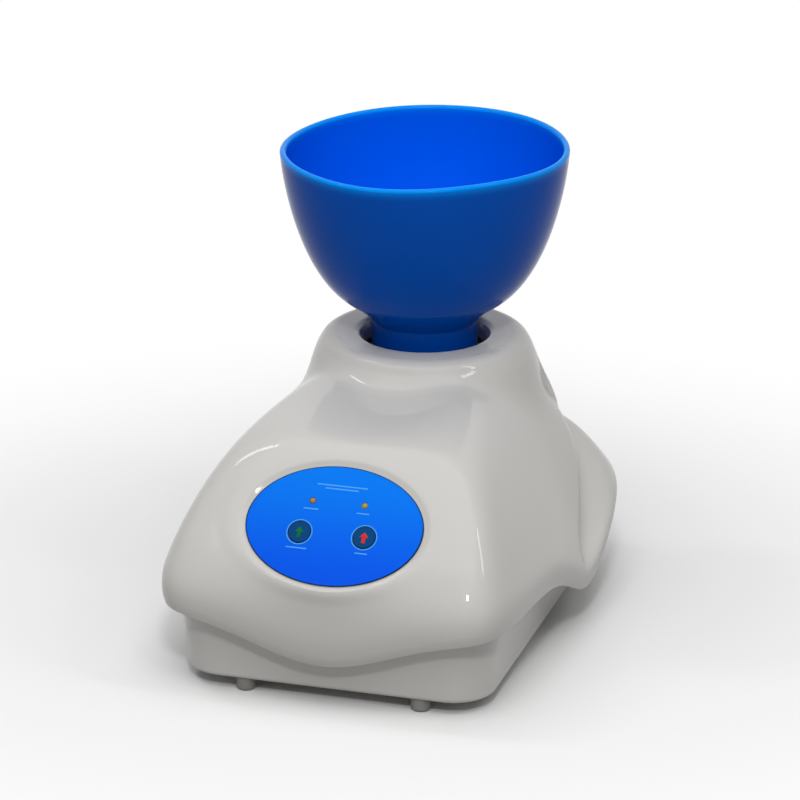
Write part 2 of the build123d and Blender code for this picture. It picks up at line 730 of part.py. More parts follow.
def build_spindle():
    """Turned spindle with a collar that carries the gear and a groove for the clip."""
    spindle = pillar(0, spindle_y, spindle_foot_z, spindle_radius, hub_floor_z - spindle_foot_z)
    collar = spindle_radius + 2.0
    spindle += pillar(0, spindle_y, plate_z + 0.3, collar, gear_z - plate_z - 0.3)
    groove_z = plate_z - housing_length - 2.0
    spindle -= pillar(0, spindle_y, groove_z, spindle_radius + 1, 1.2) - pillar(
        0, spindle_y, groove_z, spindle_radius - 0.6, 1.2)
    spindle -= pillar(0, spindle_y, hub_floor_z - 12.0, 2.0, 20.0)
    return spindle


def build_retaining_clip():
    clip = Cylinder(spindle_radius + 3.0, 1.0) - Cylinder(spindle_radius - 0.6, 3.0)
    clip -= Pos(0, -spindle_radius, 0) * Box(spindle_radius * 1.1, spindle_radius * 2, 3.0)
    return Pos(0, spindle_y, plate_z - housing_length - 1.4) * clip


def build_motor_body():
    """Small mains-rated motor can with a front boss, hanging under the plate."""
    can = pillar(0, motor_y, plate_z - motor_length, motor_radius, motor_length)
    can = chamfer(can.edges().filter_by(GeomType.CIRCLE), 1.0)
    can += pillar(0, motor_y, plate_z, motor_boss_radius, motor_boss_height)
    can -= pillar(0, motor_y, plate_z - motor_length + 4.0, motor_shaft_radius + running_gap, 120.0)
    for x, y in motor_screw_places():
        can -= pillar(x, y, plate_z - 6.0, plate_screw_radius, 20.0)
    return can


def build_motor_shaft():
    foot = plate_z - motor_length + 4.3
    return pillar(0, motor_y, foot, motor_shaft_radius, gear_z + pinion_width - foot)


# ================================================================ hub and bowl
def build_bowl_hub():
    """Turntable that grips the bowl's foot: a shallow cup on a boss."""
    hub = pillar(0, spindle_y, hub_floor_z, hub_radius, hub_floor_thickness + hub_wall_height)
    hub = fillet(hub.faces().sort_by(Axis.Z)[-1].edges(), 1.0)
    hub -= pillar(0, spindle_y, hub_floor_z + hub_floor_thickness, bowl_foot_radius + foot_fit_gap, 60.0)
    hub += pillar(0, spindle_y, hub_floor_z - hub_boss_length, hub_boss_radius, hub_boss_length)
    hub -= pillar(0, spindle_y, 0, spindle_radius, hub_floor_z)
    hub -= pillar(0, spindle_y, 0, 2.2, 200.0)
    return hub


def build_hub_screw():
    z = hub_floor_z + hub_floor_thickness
    return pillar(0, spindle_y, z - 13.0, 2.0, 13.0) + pillar(0, spindle_y, z, 4.2, 2.4)


def bowl_rise(radius, rim_radius, pole_z):
    """Height of the bowl's curve at a radius: flat in the middle, upright at the rim."""
    share = min(1.0, radius / rim_radius) ** bowl_width_power
    return pole_z + (bowl_rim_z - pole_z) * (1.0 - (1.0 - share) ** (1.0 / bowl_height_power))


def bowl_curve(start_radius, rim_radius, pole_z):
    """Points from start_radius out to the rim, closer together where the wall turns upright."""
    points = []
    for share in np.linspace(0.0, 1.0, 8):
        radius = start_radius + (rim_radius - start_radius) * (1.0 - (1.0 - share) ** 2.2)
        points.append((radius, bowl_rise(radius, rim_radius, pole_z)))
    return points


def build_mixing_bowl():
    """Flexible mixing bowl: a deep round body on a hollow foot ring."""
    foot_z = hub_floor_z + hub_floor_thickness + foot_fit_gap
    outer = bowl_curve(bowl_foot_radius, bowl_rim_radius, bowl_pole_z)
    inner = bowl_curve(0.0, bowl_rim_radius - bowl_wall, bowl_pole_z + bowl_floor_thickness)
    recess_radius = bowl_foot_radius - bowl_foot_wall
    edges = [
        Line((0, foot_z + bowl_foot_recess), (recess_radius, foot_z + bowl_foot_recess)),
        Line((recess_radius, foot_z + bowl_foot_recess), (recess_radius, foot_z)),
        Line((recess_radius, foot_z), (bowl_foot_radius, foot_z)),
        Line((bowl_foot_radius, foot_z), outer[0]),
        Spline(*outer),
        Line(outer[-1], inner[-1]),
        Spline(*inner),
        Line(inner[0], (0, foot_z + bowl_foot_recess)),
    ]
    face = Plane.XZ * make_face(edges)
    return Pos(0, spindle_y, 0) * revolve(face, Axis.Z)


# ================================================================ mains side
def inlet_plane():
    """Plane on the back wall at the inlet's middle, looking backwards."""
    lean = math.radians(tub_draft)
    return Plane(origin=(0, back_wall_y(inlet_z), inlet_z), x_dir=(-1, 0, 0),
                 z_dir=(0, math.cos(lean), -math.sin(lean)))


def on_back(x, y, z, shape):
    """Place a shape on the back wall; z is measured outwards."""
    return inlet_plane() * Pos(-x, y, z) * shape


def slab(width, height, depth):
    """A block standing on its foot."""
    return Box(width, height, depth, align=(Align.CENTER, Align.CENTER, Align.MIN))


def build_mains_inlet():
    """Recessed three-pin appliance inlet with a flange outside the wall."""
    inlet = on_back(inlet_x, 0, -inlet_depth, slab(*inlet_size, inlet_depth))
    inlet += on_back(inlet_x, 0, 0, slab(*inlet_flange, inlet_flange_thickness))
    mouth = inlet_flange_thickness - inlet_socket_depth
    inlet -= on_back(inlet_x, 0, mouth, slab(*inlet_socket, inlet_socket_depth + 1.0))
    return inlet


def build_inlet_pins():
    pins = []
    foot = inlet_flange_thickness - inlet_socket_depth
    for x, y in ((-7.0, -2.0), (7.0, -2.0), (0.0, 3.6)):
        pins.append(on_back(inlet_x + x, y, foot, slab(pin_size[0], pin_size[1], pin_size[2])))
    return Compound(children=pins)


def build_rocker_frame():
    """Snap-in frame of the mains switch."""
    width, height = rocker_size
    frame = on_back(rocker_x, 0, 0, slab(*rocker_frame, rocker_frame_thickness))
    outer_width = width + 2 * rocker_frame_wall
    frame += on_back(rocker_x, 0, -rocker_depth, slab(outer_width, height + 2 * rocker_frame_wall, rocker_depth))
    frame -= on_back(rocker_x, 0, -rocker_depth + 1.5, slab(width, height, 40.0))
    frame -= rocker_pin(rocker_pin_radius + running_gap, outer_width + 1.0)
    return frame


def build_power_rocker():
    """Rocker key, resting tilted in its off position."""
    width = rocker_size[0] - 2 * rocker_gap
    height = rocker_size[1] - 2 * rocker_gap - 1.6
    top = rocker_frame_thickness + 1.2
    key = Pos(0, 0, -rocker_pivot_depth - 2.0) * slab(width, height, top + rocker_pivot_depth + 2.0)
    for side in (-1, 1):
        lean = Pos(0, 0, top) * Rot(side * rocker_swing / 2, 0, 0) * Pos(0, side * height / 2, 0) * Box(
            width + 2, height, 4.0, align=(Align.CENTER, Align.CENTER, Align.MIN))
        key -= lean
    key = rocker_plane() * Rot(rocker_swing / 2, 0, 0) * Pos(0, 0, rocker_pivot_depth) * key
    return key + rocker_pin(rocker_pin_radius, rocker_size[0] + rocker_frame_wall)


def rocker_pin(radius, length):
    """A round pin along the rocker's pivot."""
    return rocker_plane() * Rot(0, 90, 0) * Cylinder(radius, length)


def rocker_plane():
    """Plane through the rocker's pivot, looking backwards."""
    return inlet_plane() * Pos(-rocker_x, 0, -rocker_pivot_depth)


def build_supply_board():
    z = tub_inner_floor_z + supply_post_height
    board = Pos(0, supply_board_y, z) * slab(*supply_board_size, board_thickness)
    for x, y in supply_screw_places():
        board -= pillar(x, y, z - 1, plate_screw_radius + screw_clearance, 10.0)
    return board


def build_supply_screws():
    z = tub_inner_floor_z + supply_post_height + board_thickness
    return Compound(children=[hanging_screw(x, y, z, 5.0) for x, y in supply_screw_places()])


def build_transformer():
    z = tub_inner_floor_z + supply_post_height + board_thickness
    width, depth, height = transformer_size
    core = Pos(-12.0, supply_board_y, z) * slab(width, depth, height)
    winding = Pos(-12.0, supply_board_y, z + 4.0) * slab(width - 12.0, depth + 8.0, height - 8.0)
    return core + winding


def build_smoothing_capacitor():
    z = tub_inner_floor_z + supply_post_height + board_thickness
    return pillar(20.0, supply_board_y, z, 8.0, 22.0)


white = (0.86, 0.85, 0.83)
grey = (0.6, 0.6, 0.6)
steel = (0.7, 0.7, 0.72)
dark = (0.12, 0.12, 0.13)
blue = (0.0, 0.3, 0.95)
green = (0.1, 0.45, 0.2)
brass = (0.75, 0.6, 0.3)

save(build_base_tub(), "base_tub", grey)
save(build_rubber_feet(), "rubber_feet", dark)
save(build_foot_screws(), "foot_screws", steel)
save(build_cover_screws(), "cover_screws", steel)
save(build_control_panel(), "control_panel", blue)
save(build_button(start_button_at), "start_button", (0.0, 0.25, 0.7))
save(build_button(stop_button_at), "stop_button", (0.0, 0.25, 0.7))
save(build_switches(), "key_switches", dark)
save(build_lamp(running_lamp_at), "running_lamp", (0.9, 0.5, 0.1))
save(build_lamp(power_lamp_at), "power_lamp", (0.9, 0.8, 0.1))
save(build_control_board(), "control_board", green)
save(build_board_screws(), "board_screws", steel)
save(build_chassis_plate(), "chassis_plate", steel)
save(build_chassis_pillars(), "chassis_pillars", steel)
save(build_plate_screws(), "plate_screws", steel)
save(build_bearing_housing(), "bearing_housing", steel)
save(build_housing_screws(), "housing_screws", steel)
save(build_bearing(plate_z - bearing_width), "upper_bearing", steel)
save(build_bearing(plate_z - housing_length), "lower_bearing", steel)
save(build_spindle(), "spindle", steel)
save(build_retaining_clip(), "retaining_clip", dark)
save(build_drive_gear(), "drive_gear", (0.9, 0.9, 0.85))
save(build_motor_body(), "motor_body", grey)
save(build_motor_screws(), "motor_screws", steel)
save(build_motor_shaft(), "motor_shaft", steel)
save(build_pinion(), "motor_pinion", brass)
save(build_bowl_hub(), "bowl_hub", dark)
save(build_hub_screw(), "hub_screw", steel)
save(build_mixing_bowl(), "mixing_bowl", blue)
save(build_mains_inlet(), "mains_inlet", dark)
save(build_inlet_pins(), "inlet_pins", brass)
save(build_rocker_frame(), "rocker_frame", dark)
save(build_power_rocker(), "power_rocker", dark)
save(build_supply_board(), "supply_board", green)
save(build_supply_screws(), "supply_screws", steel)
save(build_transformer(), "transformer", (0.5, 0.45, 0.3))
save(build_smoothing_capacitor(), "smoothing_capacitor", dark)
save(build_top_cover(), "top_cover", white)
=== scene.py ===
import math

import bpy
import numpy as np
from bpy.props import FloatProperty, FloatVectorProperty, IntProperty, PointerProperty
from bpy.types import Operator, Panel, PropertyGroup
from mathutils import Matrix, Vector


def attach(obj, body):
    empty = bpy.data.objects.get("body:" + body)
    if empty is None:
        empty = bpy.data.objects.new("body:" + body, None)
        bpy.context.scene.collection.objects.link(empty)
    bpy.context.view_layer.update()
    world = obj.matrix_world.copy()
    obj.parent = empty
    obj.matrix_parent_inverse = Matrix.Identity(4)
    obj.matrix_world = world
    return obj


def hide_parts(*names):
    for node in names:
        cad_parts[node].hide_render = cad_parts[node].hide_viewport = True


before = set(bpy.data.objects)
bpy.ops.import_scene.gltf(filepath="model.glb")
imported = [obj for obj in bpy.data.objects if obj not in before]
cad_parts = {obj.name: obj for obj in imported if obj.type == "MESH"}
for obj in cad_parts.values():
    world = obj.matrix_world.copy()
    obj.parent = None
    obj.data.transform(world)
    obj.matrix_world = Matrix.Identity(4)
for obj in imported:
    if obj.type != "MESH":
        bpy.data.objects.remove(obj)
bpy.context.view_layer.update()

bl_info = {
    "name": "Bench Mixer Looks",
    "version": (1, 0, 0),
    "blender": (4, 5, 0),
    "location": "View3D > Sidebar > Mixer",
    "description": "Moulded housing, rubber bowl, printed panel and finishes of a bench-top mixer",
    "category": "Add Mesh",
}

# The bowl and the neck turn about a vertical axis at this place along Y.
SPINDLE_Y = 0.04785

# The control panel's plane: its middle, and its slope from level.
PANEL_MIDDLE = np.array((0.0, -0.09675, 0.0840))
PANEL_TILT = math.radians(46.9)
PANEL_UP = np.array((0.0, math.cos(PANEL_TILT), math.sin(PANEL_TILT)))
PANEL_OUT = np.array((0.0, -math.sin(PANEL_TILT), math.cos(PANEL_TILT)))


# ---- settings
def length(name, default, description):
    """A length in metres."""
    return FloatProperty(name=name, description=description, default=default, unit="LENGTH", precision=5)


def amount(name, default, description):
    """A plain number."""
    return FloatProperty(name=name, description=description, default=default, precision=4)


def colour(name, default, description):
    """A linear colour."""
    return FloatVectorProperty(
        name=name, description=description, default=default, subtype="COLOR", min=0, max=1
    )


class CoverShape(PropertyGroup):
    half_width: length("Half width", 0.0919, "Skirt's half width at the middle of its length")
    front_y: length("Front", -0.11975, "Front of the skirt")
    back_y: length("Back", 0.1218, "Back of the skirt")
    widening: amount("Widening", 0.84, "Growth of the half width per metre towards the back")
    widest_y: length("Widest place", 0.0, "Where the front and back halves of the outline meet")
    front_squareness: amount("Front squareness", 9.9, "Exponent of the front half's outline")
    back_squareness: amount("Back squareness", 3.01, "Exponent of the back half's outline")
    wall: length("Wall", 0.003, "Thickness of the moulding")
    corner_z: length("Corner edge", 0.0428, "Height of the skirt's edge at the corners")
    front_drop: length("Front drop", 0.0199, "How far the edge dips in the middle of the front")
    front_spread: length("Front spread", 0.0471, "Half width of the dip in front")
    side_drop: length("Side drop", 0.0207, "How far the edge dips along each side")
    side_y: length("Side dip place", 0.0147, "Where along Y the side's dip is deepest")
    side_spread: length("Side spread", 0.0362, "Half length of the dip on each side")
    band: length("Band", 0.011, "Height of the upright band above the edge")
    tuck: length("Tuck", 0.0019, "How far the band leans in at the edge")
    front_tuck: length("Front tuck", 0.0031, "How far the band leans in at the edge, in front")
    side_z: length("Side root", 0.1204, "Height of the dome at the neck, at the sides")
    front_z: length("Front root", 0.1154, "Height of the dome at the neck, in front")
    back_z: length("Back root", 0.0842, "Height of the dome at the neck, behind")
    root_radius: length("Root radius", 0.0283, "Plan radius of the dome's top")
    side_width_power: amount("Side width power", 1.88, "Cross-section exponent at the sides")
    side_height_power: amount("Side height power", 0.99, "Cross-section exponent at the sides")
    front_width_power: amount("Front width power", 7.91, "Cross-section exponent in front")
    front_height_power: amount("Front height power", 1.9, "Cross-section exponent in front")
    front_power: amount("Front share power", 4.18, "How narrowly the front's section holds")
    facet_softness: length("Facet softness", 0.0034, "Softness of the edge round the panel's facet")
    land: amount("Panel land", 1.06, "Flat land round the panel, as a share of its ellipse")
    run_out: amount("Panel run-out", 1.35, "Where the land has run out, as a share of the ellipse")
    valley_depth: length("Valley depth", 0.01, "Depth of the hollow in each flank")
    valley_y: length("Valley place", 0.0588, "Where along Y the hollow runs at mid height")
    valley_lean: amount("Valley lean", 1.15, "How far the hollow moves back for each metre of rise")
    valley_spread: length("Valley spread", 0.0132, "Half width of the hollow")
    valley_rise: length("Valley foot", 0.0231, "Height where the hollow starts")
    valley_full: length("Valley full", 0.042, "Height where the hollow is full")
    valley_fade: length("Valley fade", 0.0818, "Height where the hollow starts to fade")
    valley_end: length("Valley end", 0.098, "Height where the hollow has gone")
    neck_radius: length("Neck radius", 0.0523, "Radius of the neck under its lip")
    neck_top_z: length("Neck top", 0.1294, "Crest of the neck's lip")
    neck_straight_z: length("Lip start", 0.119, "Height where the lip starts to roll in")
    neck_lean: FloatProperty(
        name="Neck lean", description="Lean of the neck's side under its lip",
        default=math.radians(18.2), subtype="ANGLE",
    )
    join_radius: length("Join radius", 0.0649, "Radius where the dome starts to flare into the neck")
    back_join_radius: length("Back join radius", 0.060, "The same at the back of the cover")
    reach_in: amount("Flare reach in", 0.45, "How long the flare keeps the dome's direction")
    reach_up: amount("Flare reach up", 0.57, "How long the flare keeps the neck's direction")
    crest_radius: length("Lip crest radius", 0.043, "Radius of the lip's crest")
    hole_radius: length("Hole radius", 0.0307, "Radius where the lip has rolled over into the hole")
    hole_rise: length("Hole rise", 0.0003, "How far the lip rises on from its crest to the hole's edge")
    hole_round: length("Hole round", 0.0030, "Rounding of the hole's edge")
    throat_radius: length("Throat radius", 0.0296, "Radius of the opening at the foot of the funnel")
    throat_z: length("Throat height", 0.1206, "Height of the foot of the funnel inside the hole")
    edge_round: length("Edge round", 0.0042, "Spread of the softening where the skirt's band meets the dome")
    foot_soften: length("Neck foot round", 0.0042, "Spread of the softening where the dome meets the neck")
    pocket_depth: length("Pocket depth", 0.0009, "Depth of the panel's recess")
    pocket_bevel: length("Pocket bevel", 0.0031, "Width of the slope around the panel's recess")
    columns: IntProperty(name="Columns", description="Faces round half of the cover", default=204, min=24)
    rows: IntProperty(name="Rows", description="Faces up the cover", default=170, min=24)


class BowlShape(PropertyGroup):
    rim_radius: length("Rim radius", 0.0678, "Outer radius at the rim")
    rim_z: length("Rim height", 0.2221, "Height of the rim")
    pole_z: length("Pole height", 0.1396, "Where the outer curve would meet the axis")
    width_power: amount("Width power", 3.5, "Exponent of the outer curve, across")
    height_power: amount("Height power", 1.52, "Exponent of the outer curve, upwards")
    wall: length("Wall", 0.003, "Thickness of the rubber")
    floor: length("Floor", 0.006, "Thickness of the floor")
    foot_radius: length("Foot radius", 0.0252, "Outer radius of the foot")
    heel_radius: length("Heel radius", 0.037, "Radius where the bowl starts to run down into its foot")
    heel_drop: length("Heel drop", 0.0046, "How far the bowl has run down where it meets the foot")
    foot_z: length("Foot height", 0.1105, "Underside of the foot")
    foot_wall: length("Foot wall", 0.004, "Width of the foot's ring")
    recess: length("Foot recess", 0.004, "Depth of the hollow under the foot")
    wave: length("Rim wave", 0.0007, "How far the soft rim strays from a circle")
    segments: IntProperty(name="Segments", description="Faces round the bowl", default=256, min=24)


class PanelShape(PropertyGroup):
    half_width: length("Half width", 0.042, "Half width of the printed panel")
    half_height: length("Half height", 0.0292, "Half height of the printed panel")
    key_radius: length("Key radius", 0.0053, "Radius of each key")
    start_x: length("Start key across", -0.0156, "Start key's place across the panel")
    start_up: length("Start key up", -0.0046, "Start key's place up the panel")
    stop_x: length("Stop key across", 0.0150, "Stop key's place across the panel")
    stop_up: length("Stop key up", -0.0040, "Stop key's place up the panel")
    running_x: length("Running lamp across", -0.0126, "Running lamp's place across the panel")
    running_up: length("Running lamp up", 0.0112, "Running lamp's place up the panel")
    power_x: length("Power lamp across", 0.0121, "Power lamp's place across the panel")
    power_up: length("Power lamp up", 0.0114, "Power lamp's place up the panel")
    face_drop: length("Face drop", 0.0002, "Panel's face below the cover's land")
    well_depth: length("Well depth", 0.003, "Depth of the well in the cover under each key")
    key_proud: length("Key height", 0.0004, "How far the keys stand above the panel's face")
    print_height: length("Print height", 0.00006, "Thickness of the printed marks")


class FinishColours(PropertyGroup):
    housing: colour("Housing", (0.58, 0.567, 0.54), "Glossy warm white of the cover")
    # The base tub's white is set lighter than the cover's plastic: painted light that lifts the tub, which
    # sits in shade under the cover's skirt.
    base: colour("Base", (0.64, 0.622, 0.595), "Grey white of the base tub")
    # The panel's top and bottom blues are the two ends of a painted reflection: the panel is painted lighter
    # towards its upper edge and deeper towards its lower edge.
    painted_reflection_top: colour("Panel top", (0.0, 0.195, 0.90), "Panel's blue at its upper edge")
    painted_reflection_bottom: colour("Panel bottom", (0.0, 0.092, 0.83), "Panel's blue at its lower edge")
    bowl: colour("Bowl", (0.0, 0.074, 0.44), "Blue rubber outside the bowl")
    # The rim and inside colours are lighter copies of the outside's blue rubber: a painted highlight on the
    # thin rim and painted light inside the bowl.
    bowl_rim_painted_highlight: colour("Bowl rim", (0.0, 0.27, 0.90), "Blue rubber at the thin rim")
    bowl_inside_painted_light: colour("Bowl inside", (0.0, 0.115, 0.80), "Blue rubber inside the bowl")
    key: colour("Keys", (0.0, 0.055, 0.20), "Dark blue of the keys")
    start_mark: colour("Start mark", (0.0, 0.15, 0.03), "Green mark on the start key")
    stop_mark: colour("Stop mark", (0.66, 0.03, 0.012), "Red mark on the stop key")
    light_print: colour("Light print", (0.09, 0.40, 0.86), "Pale print on the panel")


# ---- meshes
def add_piece(name, points, faces, material, body, slot_name, *replaced):
    """A smooth mesh of points (n, 3) and faces, given its material, body and replaced nodes; its slot name
    is not used.
    """
    mesh = bpy.data.meshes.new(name)
    mesh.from_pydata(points, [], faces)
    if mesh.validate():
        raise RuntimeError(f"{name} has bad faces")
    mesh.shade_smooth()
    mesh.set_sharp_from_angle(angle=math.radians(35))
    piece = bpy.data.objects.new(name, mesh)
    bpy.context.scene.collection.objects.link(piece)
    piece.data.materials.append(material)
    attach(piece, body)
    if replaced:
        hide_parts(*replaced)
    return piece


def ring_faces(rows, columns, closed_rows=False):
    """Quads between rows of points that each close on themselves; the last row meets the first if closed."""
    row = np.arange(rows if closed_rows else rows - 1)[:, None]
    column = np.arange(columns)[None, :]
    above = (row + 1) % rows
    beside = (column + 1) % columns
    corners = (
        row * columns + column,
        row * columns + beside,
        above * columns + beside,
        above * columns + column,
    )
    return np.stack([np.broadcast_to(c, (row.size, columns)) for c in corners], axis=-1).reshape(-1, 4)


def capped_rings(rings):
    """Points and faces of a stack of rings (rows, columns, 3), each end closed by a fan to its middle."""
    rows, columns, _ = rings.shape
    points = np.concatenate((rings.reshape(-1, 3), rings[:1].mean(axis=1), rings[-1:].mean(axis=1)))
    column = np.arange(columns)
    beside = (column + 1) % columns
    first = rows * columns
    last_row = (rows - 1) * columns
    start = np.stack((beside, column, np.full(columns, first)), axis=-1)
    end = np.stack((last_row + column, last_row + beside, np.full(columns, first + 1)), axis=-1)
    faces = ring_faces(rows, columns).tolist() + start.tolist() + end.tolist()
    return points, faces


def smoothstep(low, high, value):
    """0 below low, 1 above high, with the cubic 3s^2 - 2s^3 between."""
    share = np.clip((value - low) / (high - low), 0.0, 1.0)
    return share * share * (3.0 - 2.0 * share)


def round_corner(centre, radius, start, end, steps):
    """Points (radius, height) on an arc about centre, angles in degrees."""
    angle = np.radians(np.linspace(start, end, steps))
    return np.stack((centre[0] + radius * np.cos(angle), centre[1] + radius * np.sin(angle)), axis=-1)


# ---- cover
# Lengths up from the skirt's edge between which its crease is softened: in from, full, out from, gone.
EDGE_SOFT = (0.0, 0.006, 0.026, 0.040)
# Distances from the axis, and heights, between which the crease at the neck's foot is softened.
FOOT_SOFT = (0.076, 0.066)
LIP_KEPT = (0.1285, 0.124)
KEY_GAP = 0.0003


def skirt_outline(shape, turn):
    """Superellipse |cos t|^p + |sin t|^p, squarer in front, its half width growing towards the back."""
    ahead = np.sin(turn) < 0
    power = np.where(ahead, shape.front_squareness, shape.back_squareness)
    reach = np.where(ahead, shape.widest_y - shape.front_y, shape.back_y - shape.widest_y)
    across, along = np.cos(turn), np.sin(turn)
    scale = (np.abs(across) ** power + np.abs(along) ** power) ** (-1.0 / power)
    y = shape.widest_y + reach * along * scale
    x = shape.half_width * across * scale * (1.0 + shape.widening * (y - shape.widest_y))
    return x, y


def skirt_edge(shape, x, y):
    """Height of the wavy edge: the corner height less one bell curve in front and one on each side."""
    middle = np.exp(-((x / shape.front_spread) ** 2)) * (1.0 - smoothstep(-0.060, -0.010, y))
    side = np.exp(-(((y - shape.side_y) / shape.side_spread) ** 2)) * (1.0 - np.exp(-((x / 0.040) ** 4)))
    return shape.corner_z - shape.front_drop * middle - shape.side_drop * side


def panel_place(x, y, z):
    """Places across and up the panel's plane, and the distance off it."""
    up = (y - PANEL_MIDDLE[1]) * PANEL_UP[1] + (z - PANEL_MIDDLE[2]) * PANEL_UP[2]
    off = (y - PANEL_MIDDLE[1]) * PANEL_OUT[1] + (z - PANEL_MIDDLE[2]) * PANEL_OUT[2]
    return x, up, off


def cut_facet(shape, panel, x, y, z):
    """Plane off what stands in front of the panel's plane, by the soft minimum -s log(1 + e^(-d / s)) of
    the distance d and nothing; inside the panel's land the surface lies on the plane."""
    across, up, off = panel_place(x, y, z)
    soft = -shape.facet_softness * np.logaddexp(0.0, -off / shape.facet_softness)
    left = np.where(y < -0.020, soft, off)
    ring = np.hypot(across / panel.half_width, up / panel.half_height)
    land = np.where(np.abs(left) < 0.015, 1.0 - smoothstep(shape.land, shape.run_out, ring), 0.0)
    pull = off - left * (1.0 - land)
    return x, y - pull * PANEL_OUT[1], z - pull * PANEL_OUT[2]


def take_rows(rows, place):
    """Points of each column at fractional row numbers place (count, columns)."""
    low = np.clip(np.floor(place).astype(int), 0, rows.shape[0] - 2)
    share = (place - low)[..., None]
    column = np.arange(rows.shape[1])
    return rows[low, column] * (1.0 - share) + rows[low + 1, column] * share


def cover_turns(shape):
    """Angles round the outline from front to back, closer together in front where the panel is."""
    fine = np.radians(np.linspace(-90.0, 90.0, 4001))
    x, y = skirt_outline(shape, fine)
    step = np.hypot(np.diff(x), np.diff(y)) * (1.0 + 1.3 * (y[1:] < -0.070))
    run = np.concatenate(([0.0], np.cumsum(step)))
    measure = 0.72 * run / run[-1] + 0.28 * np.linspace(0.0, 1.0, fine.size)
    half = np.interp(np.linspace(0.0, 1.0, shape.columns + 1), measure, fine)
    return np.concatenate((half, math.pi - half[-2:0:-1]))


def cover_skin(shape, panel, turns):
    """Outer skin, rows from the skirt's edge to the lip's crest.

    Each column runs up a superelliptic arc (cos^(2/w), sin^(2/h)) from the skirt towards the neck's
    middle; a bell-shaped hollow is taken from each flank and the panel's facet is cut. The arc ends
    at the join radius, from where a cubic Bezier curve flares up into the neck.
    """
    x_skirt, y_skirt = skirt_outline(shape, turns)
    edge = skirt_edge(shape, x_skirt, y_skirt)
    front = np.clip(-np.sin(turns), 0.0, 1.0) ** shape.front_power
    back = np.clip(np.sin(turns), 0.0, 1.0) ** 2
    width_power = shape.side_width_power + (shape.front_width_power - shape.side_width_power) * front
    height_power = shape.side_height_power + (shape.front_height_power - shape.side_height_power) * front
    root_z = shape.side_z * (1.0 - front - back) + shape.front_z * front + shape.back_z * back
    x_root = shape.root_radius * np.cos(turns)
    y_root = SPINDLE_Y + shape.root_radius * np.sin(turns)
    reach = np.hypot(x_skirt, y_skirt)

    share = np.linspace(0.0, 1.0, 14)[:-1, None]
    ahead = np.clip(-np.sin(turns), 0.0, 1.0) ** 6
    tuck = (shape.tuck + (shape.front_tuck - shape.tuck) * ahead) * (1.0 - share) ** 2
    band = np.stack(
        (x_skirt * (1.0 - tuck / reach), y_skirt * (1.0 - tuck / reach), edge + shape.band * share), axis=-1
    )

    angle = np.linspace(0.0, math.pi / 2, 500)[:, None]
    out = np.cos(angle) ** (2.0 / width_power)
    rise = np.sin(angle) ** (2.0 / height_power)
    z = edge + shape.band + (root_z - edge - shape.band) * rise
    y = y_skirt * out + y_root * (1.0 - out)
    x = x_skirt * out + x_root * (1.0 - out)
    hollow = np.exp(-(((y - shape.valley_y - shape.valley_lean * (z - 0.0665)) / shape.valley_spread) ** 2))
    hollow *= smoothstep(shape.valley_rise, shape.valley_full, z)
    hollow *= 1.0 - smoothstep(shape.valley_fade, shape.valley_end, z)
    x = x - shape.valley_depth * hollow * np.clip(x / 0.060, -1.0, 1.0)
    dome = np.stack(cut_facet(shape, panel, x, y, z), axis=-1)

    from_axis = np.hypot(dome[..., 0], dome[..., 1] - SPINDLE_Y)
    behind = smoothstep(0.65, 1.0, np.sin(turns))
    join = shape.join_radius + (shape.back_join_radius - shape.join_radius) * behind
    above = np.clip(np.argmax(from_axis < join, axis=0), 2, dome.shape[0] - 1)
    column = np.arange(turns.size)
    before, after = from_axis[above - 1, column], from_axis[above, column]
    end = above - 1 + (before - join) / (before - after)
    dome = take_rows(dome, np.linspace(0.0, 1.0, 400)[:, None] * end)

    start = dome[-1]
    heading = start - dome[-4]
    heading /= np.linalg.norm(heading, axis=1, keepdims=True)
    bearing = np.arctan2(start[:, 1] - SPINDLE_Y, start[:, 0])
    lip_width = shape.neck_radius - shape.crest_radius
    lip_height = shape.neck_top_z - shape.neck_straight_z
    low = math.atan2(lip_height * math.tan(shape.neck_lean), lip_width)
    inward = np.stack((-np.cos(bearing), -np.sin(bearing), 0.0 * bearing), axis=-1)
    axis = np.array((0.0, SPINDLE_Y, shape.neck_straight_z + lip_height * math.sin(low)))
    neck = axis - inward * (shape.crest_radius + lip_width * math.cos(low))
    rising = inward * math.sin(shape.neck_lean) + np.array((0.0, 0.0, math.cos(shape.neck_lean)))
    chord = np.linalg.norm(neck - start, axis=1, keepdims=True)
    first = start + heading * chord * shape.reach_in
    second = neck - rising * chord * shape.reach_up
    share = np.linspace(0.0, 1.0, 48)[1:, None, None]
    flare = (1 - share) ** 3 * start + 3 * (1 - share) ** 2 * share * first
    flare = flare + 3 * (1 - share) * share ** 2 * second + share ** 3 * neck

    angle = np.linspace(low, math.pi / 2, 25)[1:, None]
    radius = shape.crest_radius + lip_width * np.cos(angle)
    z = shape.neck_straight_z + lip_height * np.sin(angle)
    lip = np.stack(
        (radius * np.cos(bearing), SPINDLE_Y + radius * np.sin(bearing), z + 0.0 * bearing), axis=-1
    )
    return np.concatenate((band, dome, flare, lip))


def run_up(rows):
    """Distance along each column from its first point to each of its points."""
    step = np.linalg.norm(np.diff(rows, axis=0), axis=2)
    return np.concatenate((np.zeros((1, rows.shape[1])), np.cumsum(step, axis=0)))


def evenly(rows, count):
    """The same columns with count rows at equal distances along each column."""
    run = run_up(rows)
    run /= run[-1]
    place = np.linspace(0.0, 1.0, count)
    column = np.arange(rows.shape[1])
    above = np.clip((run[None] < place[:, None, None]).sum(axis=1), 1, rows.shape[0] - 1)
    low, high = run[above - 1, column], run[above, column]
    share = ((place[:, None] - low) / (high - low))[..., None]
    return rows[above - 1, column] * (1.0 - share) + rows[above, column] * share


